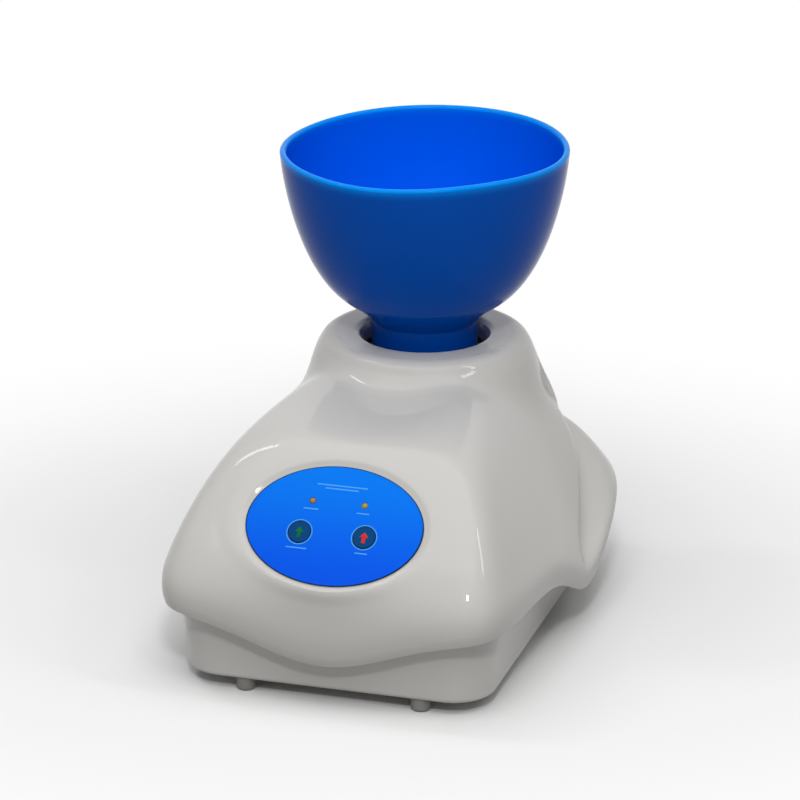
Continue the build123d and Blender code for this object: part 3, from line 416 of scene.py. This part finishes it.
def soften(rows, spread, share):
    """Each column blended by share (rows, columns) with its own Gaussian average, spread in rows."""
    step = np.arange(-3 * spread, 3 * spread + 1)
    weight = np.exp(-0.5 * (step / spread) ** 2)
    place = np.abs(np.arange(rows.shape[0])[:, None] + step)
    place = np.minimum(place, rows.shape[0] - 1)
    average = (rows[place] * (weight / weight.sum())[None, :, None, None]).sum(axis=1)
    return rows + (average - rows) * share[..., None]


def normals(grid):
    """Unit normals of a grid of closed rows: the product of its two central differences."""
    across = np.roll(grid, -1, axis=1) - np.roll(grid, 1, axis=1)
    up = np.gradient(grid, axis=0)
    normal = np.cross(across, up)
    return normal / np.linalg.norm(normal, axis=2, keepdims=True)


def sink_pocket(shape, panel, grid):
    """Push the skin in inside the panel's ellipse, by a smooth step that ends in a slope round it."""
    across, up, off = panel_place(grid[..., 0], grid[..., 1], grid[..., 2])
    ring = np.hypot(across / panel.half_width, up / panel.half_height)
    beyond = (ring - 1.0) * np.hypot(across, up) / np.maximum(ring, 1e-6)
    depth = shape.pocket_depth * (1.0 - smoothstep(0.0008, shape.pocket_bevel, beyond))
    depth = np.where(np.abs(off) < 0.004, depth, 0.0)
    return grid - depth[..., None] * PANEL_OUT


def sink_wells(panel, grid, radius):
    """Push the skin in under both keys, to the well's depth within radius, so that their caps have room.

    The skin stays closed there: the keys' stems go on through it, out of sight behind the panel.
    """
    across, up, off = panel_place(grid[..., 0], grid[..., 1], grid[..., 2])
    start = np.hypot(across - panel.start_x, up - panel.start_up)
    stop = np.hypot(across - panel.stop_x, up - panel.stop_up)
    depth = panel.well_depth * (1.0 - smoothstep(radius, radius + 0.001, np.minimum(start, stop)))
    depth = np.where(np.abs(off) < 0.006, depth, 0.0)
    return grid - depth[..., None] * PANEL_OUT


def around(turns, profile):
    """A profile of (radius, height) carried round the spindle's axis."""
    radius, height = profile[:, 0, None], profile[:, 1, None]
    return np.stack(
        (radius * np.cos(turns), SPINDLE_Y + radius * np.sin(turns), height + 0.0 * turns), axis=-1
    )


def cover_shell(shape, panel):
    """The cover as one closed grid: up the outer skin, down into the neck's collar and back inside.

    The skin is softened in two places: above the skirt's edge and at the neck's foot.
    """
    turns = cover_turns(shape)
    skin = evenly(cover_skin(shape, panel, turns), 2 * shape.rows)
    run = run_up(skin)
    spacing = float(np.diff(run, axis=0).mean())
    low = smoothstep(*EDGE_SOFT[:2], run) * (1.0 - smoothstep(*EDGE_SOFT[2:], run))
    skin = soften(skin, max(1, round(shape.edge_round / spacing)), low)
    from_axis = np.hypot(skin[..., 0], skin[..., 1] - SPINDLE_Y)
    high = smoothstep(*FOOT_SOFT, from_axis) * smoothstep(*LIP_KEPT, skin[..., 2])
    skin = soften(skin, max(1, round(shape.foot_soften / spacing)), high)
    skin = evenly(skin, shape.rows)
    well = panel.key_radius + KEY_GAP
    outer = sink_wells(panel, sink_pocket(shape, panel, skin), well)

    round_end = shape.hole_radius + shape.hole_round
    radius = np.linspace(shape.crest_radius, round_end, 9)[1:]
    lift = shape.hole_rise * ((shape.crest_radius - radius) / (shape.crest_radius - round_end)) ** 2
    lip = np.stack((radius, shape.neck_top_z + lift), axis=-1)
    hole_z = shape.neck_top_z + shape.hole_rise
    roll = round_corner((round_end, hole_z - shape.hole_round), shape.hole_round, 90.0, 166.0, 9)[1:]
    share = np.linspace(0.0, 1.0, 9)[1:, None]
    bottom = np.array((shape.throat_radius, shape.throat_z))
    funnel = roll[-1] * (1.0 - share) + bottom * share
    funnel[:, 0] -= 0.0007 * np.sin(math.pi * share[:, 0])
    under_z = hole_z - shape.wall
    collar = np.concatenate((
        lip,
        roll,
        funnel,
        bottom + ((0.0003, -0.0005), (0.0010, -0.0007), (0.0018, -0.0004)),
        ((shape.hole_radius + 0.0020, under_z - 0.0030), (shape.hole_radius + 0.0036, under_z - 0.0008)),
        ((shape.hole_radius + 0.0056, under_z), (shape.crest_radius - 0.002, under_z + 0.0002)),
    ))

    inner = skin - normals(skin) * shape.wall
    inner = sink_wells(panel, inner, well + shape.wall)
    inner = inner[:-4][::-4]
    heel = (outer[:1] + inner[-1:]) / 2.0 - np.array((0.0, 0.0, 0.0004))
    return np.concatenate((outer, around(turns, collar), inner, heel))


# ---- bowl
def bowl_profile(shape):
    """Half section of the bowl as (radius, height), from under the middle, round the rim, to the floor.

    The outer curve is radius R sin^(2/w) a and height pole + H (1 - cos^(2/h) a); the inner one is
    the outer one moved in by the wall, and flat where it meets the floor.
    """
    rise = shape.rim_z - shape.pole_z
    angle = np.linspace(0.02, math.pi / 2, 90)
    radius = shape.rim_radius * np.sin(angle) ** (2.0 / shape.width_power)
    height = shape.pole_z + rise * (1.0 - np.cos(angle) ** (2.0 / shape.height_power))
    curve = np.stack((radius, height), axis=-1)
    slope = np.gradient(curve, axis=0)
    slope /= np.linalg.norm(slope, axis=1, keepdims=True)
    inside = curve + np.stack((-slope[:, 1], slope[:, 0]), axis=-1) * shape.wall
    fall = np.clip((shape.heel_radius - radius) / (shape.heel_radius - shape.foot_radius), 0.0, 1.2)
    curve[:, 1] -= shape.heel_drop * fall ** 2

    foot, foot_z = shape.foot_radius, shape.foot_z
    outer = curve[curve[:, 0] > foot + 0.0016]
    outer = outer[outer[:, 1] < shape.rim_z - 0.0016]
    join_z = np.interp(foot, radius, curve[:, 1])
    floor_z = np.interp(foot, radius, height) + shape.floor
    inside = inside[(inside[:, 1] > floor_z + 0.0008) & (inside[:, 1] < shape.rim_z - 0.0014)]
    bead = shape.wall / 2
    rim = round_corner((shape.rim_radius - bead, shape.rim_z - bead), bead, 0.0, 180.0, 13)
    inner_foot = foot - shape.foot_wall
    recess_z = foot_z + shape.recess
    below = np.array((
        (0.0, recess_z), (inner_foot * 0.5, recess_z), (inner_foot - 0.0005, recess_z),
        (inner_foot, recess_z - 0.0005), (inner_foot, foot_z + 0.0008), (inner_foot + 0.0008, foot_z),
    ))
    heel = round_corner((foot - 0.0012, foot_z + 0.0012), 0.0012, -90.0, 0.0, 7)
    side = np.stack((np.full(8, foot), np.linspace(foot_z + 0.003, join_z - 0.0006, 8)), axis=-1)
    floor = np.stack((np.linspace(inside[0, 0] - 0.0012, 0.0, 12), np.full(12, floor_z)), axis=-1)
    return np.concatenate((below, heel, side, outer, rim, inside[::-1], floor))


def wavy(shape, points):
    """Soft rubber isn't quite round: radius and height stray by low harmonics, growing to the rim."""
    x, y, z = points[:, 0], points[:, 1] - SPINDLE_Y, points[:, 2]
    turn = np.arctan2(y, x)
    high = np.clip((z - shape.pole_z) / (shape.rim_z - shape.pole_z), 0.0, 1.0) ** 2
    stray = np.cos(2.0 * turn - 0.5) * 0.8 + np.cos(3.0 * turn + 1.1) * 0.5 + np.cos(5.0 * turn + 0.3) * 0.25
    grow = 1.0 + shape.wave * high * stray / shape.rim_radius
    tilt = 1.3 - 1.5 * np.cos(turn - 0.6)
    lift = -shape.wave * high * (tilt + np.cos(3.0 * turn - 1.0) * 0.6 + np.cos(4.0 * turn + 0.6) * 0.4)
    return np.stack((x * grow, SPINDLE_Y + y * grow, z + lift), axis=-1)


def lathe(profile, segments):
    """Points and faces of a profile turned about the spindle's axis, its two ends on the axis."""
    turns = np.linspace(0.0, 2.0 * math.pi, segments, endpoint=False)
    rings = around(turns, profile[1:-1])
    points, faces = capped_rings(rings)
    points[-2] = (0.0, SPINDLE_Y, profile[0, 1])
    points[-1] = (0.0, SPINDLE_Y, profile[-1, 1])
    return points, faces


# ---- marks on the panel
def on_panel(across, up, off):
    """Points of the panel's plane, moved off it."""
    across, up, off = np.broadcast_arrays(across, up, off)
    place = across[..., None] * np.array((1.0, 0.0, 0.0)) + up[..., None] * PANEL_UP
    return PANEL_MIDDLE + place + off[..., None] * PANEL_OUT


def raised_mark(outline, at, low, high):
    """A flat mark: its outline (n, 2) carried from low to high, with a narrow bevel at the top."""
    across, up = outline[:, 0] + at[0], outline[:, 1] + at[1]
    bevel = 0.94
    rings = np.stack((
        on_panel(across, up, low),
        on_panel(across, up, (low + 2.0 * high) / 3.0),
        on_panel(at[0] + (across - at[0]) * bevel, at[1] + (up - at[1]) * bevel, high),
    ))
    return capped_rings(rings)


def bar_outline(half_length, half_width, steps=8):
    """A bar with round ends."""
    angle = np.radians(np.linspace(-90.0, 90.0, steps))
    along = half_length - half_width + half_width * np.cos(angle)
    right = np.stack((along, half_width * np.sin(angle)), axis=-1)
    return np.concatenate((right, -right))


def arrow_outline(size):
    """An upright arrow, as seen from a point inside its head."""
    return size * np.array((
        (0.0, 0.85), (-0.36, 0.45), (-0.74, 0.0), (-0.30, 0.0), (-0.30, -0.55), (-0.30, -1.0),
        (0.0, -1.0), (0.30, -1.0), (0.30, -0.55), (0.30, 0.0), (0.74, 0.0), (0.36, 0.45),
    ))


def ring_mark(at, radius, half_width, low, high, segments=72):
    """A flat ring: a low trapezium carried round a circle."""
    turns = np.linspace(0.0, 2.0 * math.pi, segments, endpoint=False)[None, :]
    section = np.array((
        (-half_width, low), (half_width, low), (half_width, (low + 2.0 * high) / 3.0),
        (half_width * 0.7, high), (-half_width * 0.7, high), (-half_width, (low + 2.0 * high) / 3.0),
    ))
    reach = radius + section[:, :1]
    points = on_panel(at[0] + reach * np.cos(turns), at[1] + reach * np.sin(turns), section[:, 1:])
    return points.reshape(-1, 3), ring_faces(len(section), segments, closed_rows=True)[:, ::-1]


def joined(*meshes):
    """Several (points, faces) as one."""
    points, faces, count = [], [], 0
    for part_points, part_faces in meshes:
        points.append(part_points)
        listed = np.asarray(part_faces, dtype=object).tolist()
        faces += [[corner + count for corner in face] for face in listed]
        count += len(part_points)
    return np.concatenate(points), faces


# ---- shader groups
def group_socket(group, name, kind, output=False, default=None):
    """One named socket of a shader group."""
    socket = group.interface.new_socket(
        name=name, in_out="OUTPUT" if output else "INPUT", socket_type=f"NodeSocket{kind}"
    )
    if default is not None:
        socket.default_value = default


def node(tree, kind, inputs=None, **settings):
    """A node with its settings, whose inputs are values or other nodes' sockets."""
    made = tree.nodes.new(kind)
    for name, value in settings.items():
        setattr(made, name, value)
    for name, value in (inputs or {}).items():
        socket = made.inputs[name]
        if isinstance(value, bpy.types.NodeSocket):
            tree.links.new(value, socket)
        else:
            socket.default_value = value
    return made


def worked(tree, operation, *values):
    """The result of a Math node, whose inputs are values or other nodes' sockets."""
    return node(tree, "ShaderNodeMath", dict(enumerate(values)), operation=operation).outputs[0]


def colour_socket(sockets, name=None):
    """The colour socket of a Mix node, which has others of the same name."""
    return next(s for s in sockets if s.type == "RGBA" and name in (None, s.name))


def seen_directly(tree):
    """1 for what the camera, a mirror-like surface or a clear one sees, 0 for diffuse light."""
    ray = node(tree, "ShaderNodeLightPath").outputs
    seen = worked(tree, "MAXIMUM", ray["Is Camera Ray"], ray["Is Glossy Ray"])
    return worked(tree, "MAXIMUM", seen, ray["Is Transmission Ray"])


def moulded_group():
    """Moulded surface: a slow drift of colour, a fine break-up of gloss and a faint waviness."""
    name = "Moulded Surface"
    if name in bpy.data.node_groups:
        return bpy.data.node_groups[name]
    group = bpy.data.node_groups.new(name, "ShaderNodeTree")
    for socket, kind, default in (
        ("Vector", "Vector", None), ("Color", "Color", (0.8, 0.8, 0.8, 1.0)), ("Drift", "Float", 0.04),
        ("Roughness", "Float", 0.2), ("Break-up", "Float", 0.05), ("Grain Scale", "Float", 900.0),
        ("Grain", "Float", 0.2), ("Wave", "Float", 0.1),
    ):
        group_socket(group, socket, kind, default=default)
    for socket, kind in (("Color", "Color"), ("Roughness", "Float"), ("Height", "Float")):
        group_socket(group, socket, kind, output=True)
    entry = group.nodes.new("NodeGroupInput").outputs
    leave = group.nodes.new("NodeGroupOutput")
    slow, mid, fine = [
        node(
            group, "ShaderNodeTexNoise", {"Vector": entry["Vector"], "Scale": scale, "Detail": detail}
        ).outputs["Fac"]
        for scale, detail in ((14.0, 3.0), (95.0, 2.0), (entry["Grain Scale"], 2.0))
    ]
    drift = worked(group, "MULTIPLY", worked(group, "SUBTRACT", slow, 0.5), entry["Drift"])
    value = worked(group, "ADD", drift, 1.0)
    tone = node(group, "ShaderNodeHueSaturation", {"Value": value, "Color": entry["Color"]})
    uneven = worked(group, "SUBTRACT", mid, 0.5)
    spread = worked(group, "MULTIPLY_ADD", uneven, entry["Break-up"], entry["Roughness"])
    grain = worked(group, "MULTIPLY", fine, entry["Grain"])
    height = worked(group, "MULTIPLY_ADD", mid, entry["Wave"], grain)
    group.links.new(tone.outputs["Color"], leave.inputs["Color"])
    group.links.new(spread, leave.inputs["Roughness"])
    group.links.new(height, leave.inputs["Height"])
    return group


def finish(name, base, roughness, metallic=0.0, coat=0.0, drift=0.04, break_up=0.05, grain_scale=900.0,
           grain=0.2, wave=0.1, bump=0.00002, **constants):
    """A material of the moulded surface on Object coordinates; constants go straight on the shader."""
    material = bpy.data.materials.new(name)
    material.use_nodes = True
    tree = material.node_tree
    shader = tree.nodes["Principled BSDF"]
    place = node(tree, "ShaderNodeTexCoord")
    surface = node(tree, "ShaderNodeGroup", node_tree=moulded_group())
    tree.links.new(place.outputs["Object"], surface.inputs["Vector"])
    surface.inputs["Color"].default_value = (*base, 1.0)
    for socket, value in (
        ("Drift", drift), ("Roughness", roughness), ("Break-up", break_up),
        ("Grain Scale", grain_scale), ("Grain", grain), ("Wave", wave),
    ):
        surface.inputs[socket].default_value = value
    relief = node(
        tree, "ShaderNodeBump", {"Strength": 1.0, "Distance": bump, "Height": surface.outputs["Height"]}
    )
    tree.links.new(surface.outputs["Color"], shader.inputs["Base Color"])
    tree.links.new(surface.outputs["Roughness"], shader.inputs["Roughness"])
    tree.links.new(relief.outputs["Normal"], shader.inputs["Normal"])
    shader.inputs["Metallic"].default_value = metallic
    shader.inputs["Coat Weight"].default_value = coat
    for socket, value in constants.items():
        shader.inputs[socket.replace("_", " ")].default_value = value
    return material


EDGE_LINE = (0.002, 0.02, 0.07)


def panel_film_painted_reflection(panel, colours):
    """The panel's printed film, with a painted reflection: its blue is painted lighter towards the upper
    edge and deeper towards the lower edge; and a dark line round its ellipse.
    """
    material = finish(
        "panel_film_painted_reflection", colours.painted_reflection_top, 0.16, drift=0.03, break_up=0.04, wave=0.3, bump=0.00001,
        Specular_IOR_Level=0.04,
    )
    tree = material.node_tree
    place = next(n for n in tree.nodes if n.type == "TEX_COORD")
    surface = next(n for n in tree.nodes if n.type == "GROUP")
    turned = node(tree, "ShaderNodeMapping", {"Vector": place.outputs["Object"]}, vector_type="TEXTURE")
    turned.inputs["Location"].default_value = PANEL_MIDDLE
    turned.inputs["Rotation"].default_value = (PANEL_TILT, 0.0, 0.0)
    parts = node(tree, "ShaderNodeSeparateXYZ", {"Vector": turned.outputs["Vector"]})
    share = node(
        tree, "ShaderNodeMapRange",
        {"Value": parts.outputs["Y"], "From Min": -panel.half_height, "From Max": panel.half_height},
        interpolation_type="SMOOTHSTEP",
    )
    # Painted reflection: the blue runs from deeper at the panel's lower edge to lighter at its upper edge.
    blue = node(tree, "ShaderNodeMix", {"Factor": share.outputs["Result"]}, data_type="RGBA")
    for name, value in (("A", colours.painted_reflection_bottom), ("B", colours.painted_reflection_top)):
        colour_socket(blue.inputs, name).default_value = (*value, 1.0)
    across = worked(tree, "DIVIDE", parts.outputs["X"], panel.half_width)
    up = worked(tree, "DIVIDE", parts.outputs["Y"], panel.half_height)
    ring = worked(tree, "MULTIPLY_ADD", across, across, worked(tree, "MULTIPLY", up, up))
    line = node(
        tree, "ShaderNodeMapRange", {"Value": ring, "From Min": 0.962, "From Max": 0.985},
        interpolation_type="SMOOTHSTEP",
    )
    edge = node(tree, "ShaderNodeMix", {"Factor": line.outputs["Result"]}, data_type="RGBA")
    colour_socket(edge.inputs, "B").default_value = (*EDGE_LINE, 1.0)
    tree.links.new(colour_socket(blue.outputs), colour_socket(edge.inputs, "A"))
    tree.links.new(colour_socket(edge.outputs), surface.inputs["Color"])
    return material


def dress(names, material):
    """Give CAD nodes a material in every slot."""
    for name in names:
        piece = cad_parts[name]
        if not piece.material_slots:
            piece.data.materials.append(material)
        for place in piece.material_slots:
            place.material = material


# ---- operators
class MIXER_OT_top_cover(Operator):
    """Make the moulded top cover"""
    bl_idname = "mixer.top_cover"
    bl_label = "Top Cover"

    def execute(self, context):
        scene = context.scene
        shape, panel = scene.mixer_cover, scene.mixer_panel
        grid = cover_shell(shape, panel)
        gloss = finish(
            "housing_gloss", scene.mixer_colours.housing, 0.38, coat=0.5, drift=0.03, break_up=0.05,
            wave=0.5, grain=0.03, bump=0.00001, Coat_Roughness=0.03, Specular_IOR_Level=0.1,
        )
        add_piece(
            "moulded_cover", grid.reshape(-1, 3), ring_faces(grid.shape[0], grid.shape[1], closed_rows=True),
            gloss, "housing", "housing_white", "top_cover",
        )
        return {"FINISHED"}


class MIXER_OT_mixing_bowl(Operator):
    """Make the flexible bowl"""
    bl_idname = "mixer.mixing_bowl"
    bl_label = "Mixing Bowl"

    def execute(self, context):
        shape = context.scene.mixer_bowl
        profile = bowl_profile(shape)
        points, faces = lathe(profile, shape.segments)
        rubber = finish(
            "bowl_rubber_with_painted_light", context.scene.mixer_colours.bowl, 0.15, drift=0.06, break_up=0.08,
            grain_scale=1400.0, grain=0.1, wave=0.6, bump=0.00001, Specular_IOR_Level=0.045,
        )
        bowl = add_piece(
            "rubber_bowl", wavy(shape, points), faces, rubber, "bowl", "bowl_blue", "mixing_bowl",
        )
        # Painted light: the inside share (the attribute "inner") picks a lighter blue for the rim and the
        # inside than for the outside of the same rubber.
        rim = int(np.argmax(profile[:, 1]))
        row = np.arange(1, len(profile) - 1)
        share = np.repeat(smoothstep(rim - 12.0, rim + 12.0, row), shape.segments)
        inner = np.concatenate((share, (0.0, 1.0)))
        bowl.data.attributes.new("inner", "FLOAT", "POINT").data.foreach_set("value", inner)
        tree = rubber.node_tree
        place = node(tree, "ShaderNodeAttribute", attribute_name="inner")
        tone = node(tree, "ShaderNodeValToRGB", {"Fac": place.outputs["Fac"]})
        tone.color_ramp.elements.new(0.16)
        tone.color_ramp.elements.new(0.80)
        colours = context.scene.mixer_colours
        stops = (colours.bowl, colours.bowl_rim_painted_highlight, colours.bowl_rim_painted_highlight, colours.bowl_inside_painted_light)
        for stop, value in zip(tone.color_ramp.elements, stops):
            stop.color = (*value, 1.0)
        surface = next(n for n in tree.nodes if n.type == "GROUP")
        tree.links.new(tone.outputs["Color"], surface.inputs["Color"])
        return {"FINISHED"}


class MIXER_OT_panel_marks(Operator):
    """Print the panel's plain marks"""
    bl_idname = "mixer.panel_marks"
    bl_label = "Panel Marks"

    def execute(self, context):
        panel, colours = context.scene.mixer_panel, context.scene.mixer_colours
        dress(["control_panel"], panel_film_painted_reflection(panel, colours))
        pale = finish("pale_print", colours.light_print, 0.35, drift=0.02, grain=0.1, Specular_IOR_Level=0.1)
        face = -panel.face_drop
        low, high = face - 0.0001, face + panel.print_height
        start, stop = (panel.start_x, panel.start_up), (panel.stop_x, panel.stop_up)
        rings = [ring_mark(at, panel.key_radius + 0.00058, 0.00024, low, high) for at in (start, stop)]
        bars = [
            raised_mark(bar_outline(half, 0.00028), at, low, high)
            for half, at in (
                (0.0120, (0.0, 0.0196)), (0.0080, (0.0, 0.0180)),
                (0.0036, (panel.running_x, panel.running_up - 0.0040)),
                (0.0030, (panel.power_x, panel.power_up - 0.0040)),
                (0.0050, (panel.start_x, panel.start_up - 0.0078)),
                (0.0030, (panel.stop_x, panel.stop_up - 0.0078)),
            )
        ]
        add_piece("printed_marks", *joined(*rings, *bars), pale, "housing", "panel_blue")
        face += panel.key_proud
        low, high = face - 0.0001, face + panel.print_height
        for name, at, tint, body in (
            ("start_arrow", start, colours.start_mark, "start_key"),
            ("stop_arrow", stop, colours.stop_mark, "stop_key"),
        ):
            ink = finish(f"{name}_ink", tint, 0.3, drift=0.05, grain=0.1, Specular_IOR_Level=0.08)
            points, faces = raised_mark(arrow_outline(0.0028), at, low, high)
            add_piece(name, points, faces, ink, body, "key_blue")
        return {"FINISHED"}


# CAD nodes, then the name, colour, roughness and settings of their material.
PART_FINISHES = (
    (("running_lamp",), "amber_lens", (0.34, 0.15, 0.03), 0.25, dict(drift=0.1)),
    (("power_lamp",), "yellow_lens", (0.33, 0.26, 0.03), 0.25, dict(drift=0.1)),
    (("rubber_feet",), "foot_rubber", (0.27, 0.265, 0.25), 0.55,
     dict(drift=0.1, grain_scale=2200.0, grain=0.6, bump=0.00004)),
    (("mains_inlet", "rocker_frame", "power_rocker", "key_switches", "smoothing_capacitor"),
     "black_moulding", (0.018, 0.018, 0.02), 0.42,
     dict(drift=0.2, grain_scale=2600.0, grain=0.8, bump=0.00004)),
    (("foot_screws", "cover_screws", "board_screws", "plate_screws", "housing_screws", "motor_screws",
      "supply_screws", "hub_screw", "retaining_clip", "spindle", "motor_shaft", "chassis_pillars",
      "chassis_plate", "upper_bearing", "lower_bearing"),
     "plated_steel", (0.52, 0.52, 0.53), 0.28,
     dict(metallic=1.0, drift=0.12, break_up=0.25, grain_scale=1800.0, grain=0.6,
      bump=0.00002)),
    (("bowl_hub",), "hub_moulding", (0.40, 0.39, 0.37), 0.3,
     dict(coat=0.3, drift=0.06, break_up=0.1, grain=0.4)),
    (("bearing_housing",), "cast_alloy", (0.50, 0.50, 0.51), 0.5,
     dict(metallic=0.9, drift=0.15, break_up=0.2, grain_scale=1200.0, grain=1.2,
      bump=0.00008)),
    (("motor_body",), "motor_paint", (0.055, 0.056, 0.06), 0.38,
     dict(metallic=0.3, drift=0.15, break_up=0.15, grain=0.5)),
    (("control_board", "supply_board"), "board_laminate", (0.012, 0.11, 0.035), 0.35,
     dict(coat=0.3, drift=0.25, grain_scale=1600.0, grain=0.4)),
    (("drive_gear",), "gear_nylon", (0.62, 0.60, 0.52), 0.45,
     dict(drift=0.06, break_up=0.1, grain=0.4)),
    (("motor_pinion", "inlet_pins"), "turned_brass", (0.56, 0.36, 0.12), 0.25,
     dict(metallic=1.0, drift=0.12, break_up=0.2, grain=0.6)),
    (("transformer",), "core_iron", (0.10, 0.075, 0.05), 0.5,
     dict(metallic=0.4, drift=0.3, break_up=0.2, grain=1.0, bump=0.0001)),
)


class MIXER_OT_hard_parts(Operator):
    """Give the base, keys, lamps and inner parts their finishes"""
    bl_idname = "mixer.hard_parts"
    bl_label = "Hard Parts"

    def execute(self, context):
        colours = context.scene.mixer_colours
        # The base tub's colour carries painted light: it is lighter than the cover's white to lift the
        # shaded tub.
        dress(["base_tub"], finish(
            "base_plastic_painted_light", colours.base, 0.32, coat=0.35, drift=0.04, break_up=0.08,
            grain_scale=1500.0, grain=0.4, bump=0.00003, Coat_Roughness=0.15,
        ))
        dress(["start_button", "stop_button"], finish(
            "key_film", colours.key, 0.25, drift=0.05, Specular_IOR_Level=0.05,
        ))
        for names, material, base, roughness, settings in PART_FINISHES:
            dress(names, finish(material, base, roughness, **settings))
        return {"FINISHED"}


# The camera: its bearing and height in degrees, what it looks at, how far off it stands and its lens.
CAMERA_TURN, CAMERA_RISE = 16.768, 20.291
CAMERA_TARGET = (0.033913, -0.10575, 0.15167)
CAMERA_DISTANCE = 2.1008
CAMERA_SENSOR, CAMERA_LENS = 36.0, 212.5

# Lamps: name, place, target, width and height in metres, and watts.
MIDDLE = (0.0, 0.0, 0.08)
LAMPS = (
    ("overhead_box", (0.0, -0.3, 1.6), MIDDLE, (1.6, 1.6), 9.0),
    ("front_box", (0.25, -0.85, 1.5), MIDDLE, (0.9, 0.9), 7.5),
    ("camera_lamp", (0.45, -1.49, 1.35), (0.0, 0.0, 0.1), (0.17, 0.17), 8.0),
    ("left_strip", (-0.80, 0.0, 1.35), MIDDLE, (0.12, 0.35), 1.5),
    ("right_strip", (0.95, -0.2, 1.1), MIDDLE, (0.12, 0.5), 1.6),
)
FLOOR_REACH = 12.0


def add_lamp(name, place, target, size, watts):
    """A rectangular area lamp at place, aimed at target."""
    light = bpy.data.lights.new(name, "AREA")
    light.shape = "RECTANGLE"
    light.size, light.size_y = size
    light.energy = watts
    lamp = bpy.data.objects.new(name, light)
    facing = (Vector(place) - Vector(target)).to_track_quat("Z", "Y")
    lamp.matrix_world = Matrix.Translation(place) @ facing.to_matrix().to_4x4()
    bpy.context.scene.collection.objects.link(lamp)
    return lamp


class MIXER_OT_stage(Operator):
    """Set up the camera, lamps, pale floor and white surroundings"""
    bl_idname = "mixer.stage"
    bl_label = "Stage"

    def execute(self, context):
        scene = context.scene
        turn, rise = math.radians(CAMERA_TURN), math.radians(CAMERA_RISE)
        back = Vector((math.sin(turn) * math.cos(rise), -math.cos(turn) * math.cos(rise), math.sin(rise)))
        right = Vector((math.cos(turn), math.sin(turn), 0.0))
        up = back.cross(right)
        place = Vector(CAMERA_TARGET) + back * CAMERA_DISTANCE
        camera = bpy.data.objects.new("camera", bpy.data.cameras.new("camera"))
        camera.matrix_world = Matrix.Translation(place) @ Matrix((right, up, back)).transposed().to_4x4()
        camera.data.sensor_width = CAMERA_SENSOR
        camera.data.lens = CAMERA_LENS
        camera.data.clip_end = 100.0
        scene.collection.objects.link(camera)
        scene.camera = camera
        scene.view_settings.view_transform = "Standard"

        lamps = {row[0]: add_lamp(*row) for row in LAMPS}
        lamps["front_box"].visible_glossy = False

        world = bpy.data.worlds.new("white_surroundings")
        scene.world = world
        world.use_nodes = True
        tree = world.node_tree
        sky = tree.nodes["Background"]
        sky.inputs["Color"].default_value = (1.0, 1.0, 1.0, 1.0)
        seen = seen_directly(tree)
        strength = node(tree, "ShaderNodeMapRange", {"Value": seen, "To Min": 0.20, "To Max": 1.0})
        tree.links.new(strength.outputs["Result"], sky.inputs["Strength"])

        mesh = bpy.data.meshes.new("floor")
        corners = [(x * FLOOR_REACH, y * FLOOR_REACH, 0.0) for x, y in ((-1, -1), (1, -1), (1, 1), (-1, 1))]
        mesh.from_pydata(corners, [], [(0, 1, 2, 3)])
        floor = bpy.data.objects.new("floor", mesh)
        scene.collection.objects.link(floor)
        floor.data.materials.append(self.floor_material())
        return {"FINISHED"}

    def floor_material(self):
        """Pale floor near the object, running out to plain white further off. It looks paler than the
        light that it throws back on the object."""
        material = bpy.data.materials.new("pale_floor")
        material.use_nodes = True
        tree = material.node_tree
        shader = tree.nodes["Principled BSDF"]
        shader.inputs["Roughness"].default_value = 0.7
        shader.inputs["Specular IOR Level"].default_value = 0.2
        place = node(tree, "ShaderNodeTexCoord")
        far = node(tree, "ShaderNodeVectorMath", {0: place.outputs["Object"]}, operation="LENGTH")
        run_out = node(
            tree, "ShaderNodeMapRange", {"Value": far.outputs["Value"], "From Min": 0.10, "From Max": 0.42},
            interpolation_type="SMOOTHSTEP",
        )
        seen = seen_directly(tree)
        tone = node(tree, "ShaderNodeMapRange", {"Value": seen, "To Min": 0.38, "To Max": 0.95})
        tree.links.new(tone.outputs["Result"], shader.inputs["Base Color"])
        share = worked(tree, "MULTIPLY", seen, run_out.outputs["Result"])
        white = node(tree, "ShaderNodeEmission", {"Color": (1.0, 1.0, 1.0, 1.0), "Strength": 1.0})
        mixed = node(tree, "ShaderNodeMixShader", {0: share, 1: shader.outputs[0], 2: white.outputs[0]})
        tree.links.new(mixed.outputs[0], tree.nodes["Material Output"].inputs["Surface"])
        return material


class MIXER_PT_sidebar(Panel):
    """Mixer looks"""
    bl_idname = "MIXER_PT_sidebar"
    bl_label = "Bench Mixer"
    bl_space_type = "VIEW_3D"
    bl_region_type = "UI"
    bl_category = "Mixer"

    def draw(self, context):
        for settings in SETTINGS:
            box = self.layout.box()
            for name in settings[1].__annotations__:
                box.prop(getattr(context.scene, settings[0]), name)
        for operator in OPERATORS:
            self.layout.operator(operator.bl_idname)


SETTINGS = (
    ("mixer_cover", CoverShape),
    ("mixer_bowl", BowlShape),
    ("mixer_panel", PanelShape),
    ("mixer_colours", FinishColours),
)
OPERATORS = (
    MIXER_OT_stage, MIXER_OT_top_cover, MIXER_OT_mixing_bowl, MIXER_OT_panel_marks, MIXER_OT_hard_parts
)


def register():
    for name, settings in SETTINGS:
        bpy.utils.register_class(settings)
        setattr(bpy.types.Scene, name, PointerProperty(type=settings))
    for item in (*OPERATORS, MIXER_PT_sidebar):
        bpy.utils.register_class(item)


def unregister():
    for item in (MIXER_PT_sidebar, *OPERATORS):
        bpy.utils.unregister_class(item)
    for name, settings in SETTINGS:
        delattr(bpy.types.Scene, name)
        bpy.utils.unregister_class(settings)


def main():
    register()
    bpy.ops.mixer.stage()
    bpy.ops.mixer.top_cover()
    bpy.ops.mixer.mixing_bowl()
    bpy.ops.mixer.panel_marks()
    bpy.ops.mixer.hard_parts()


if __name__ == "__main__":
    main()
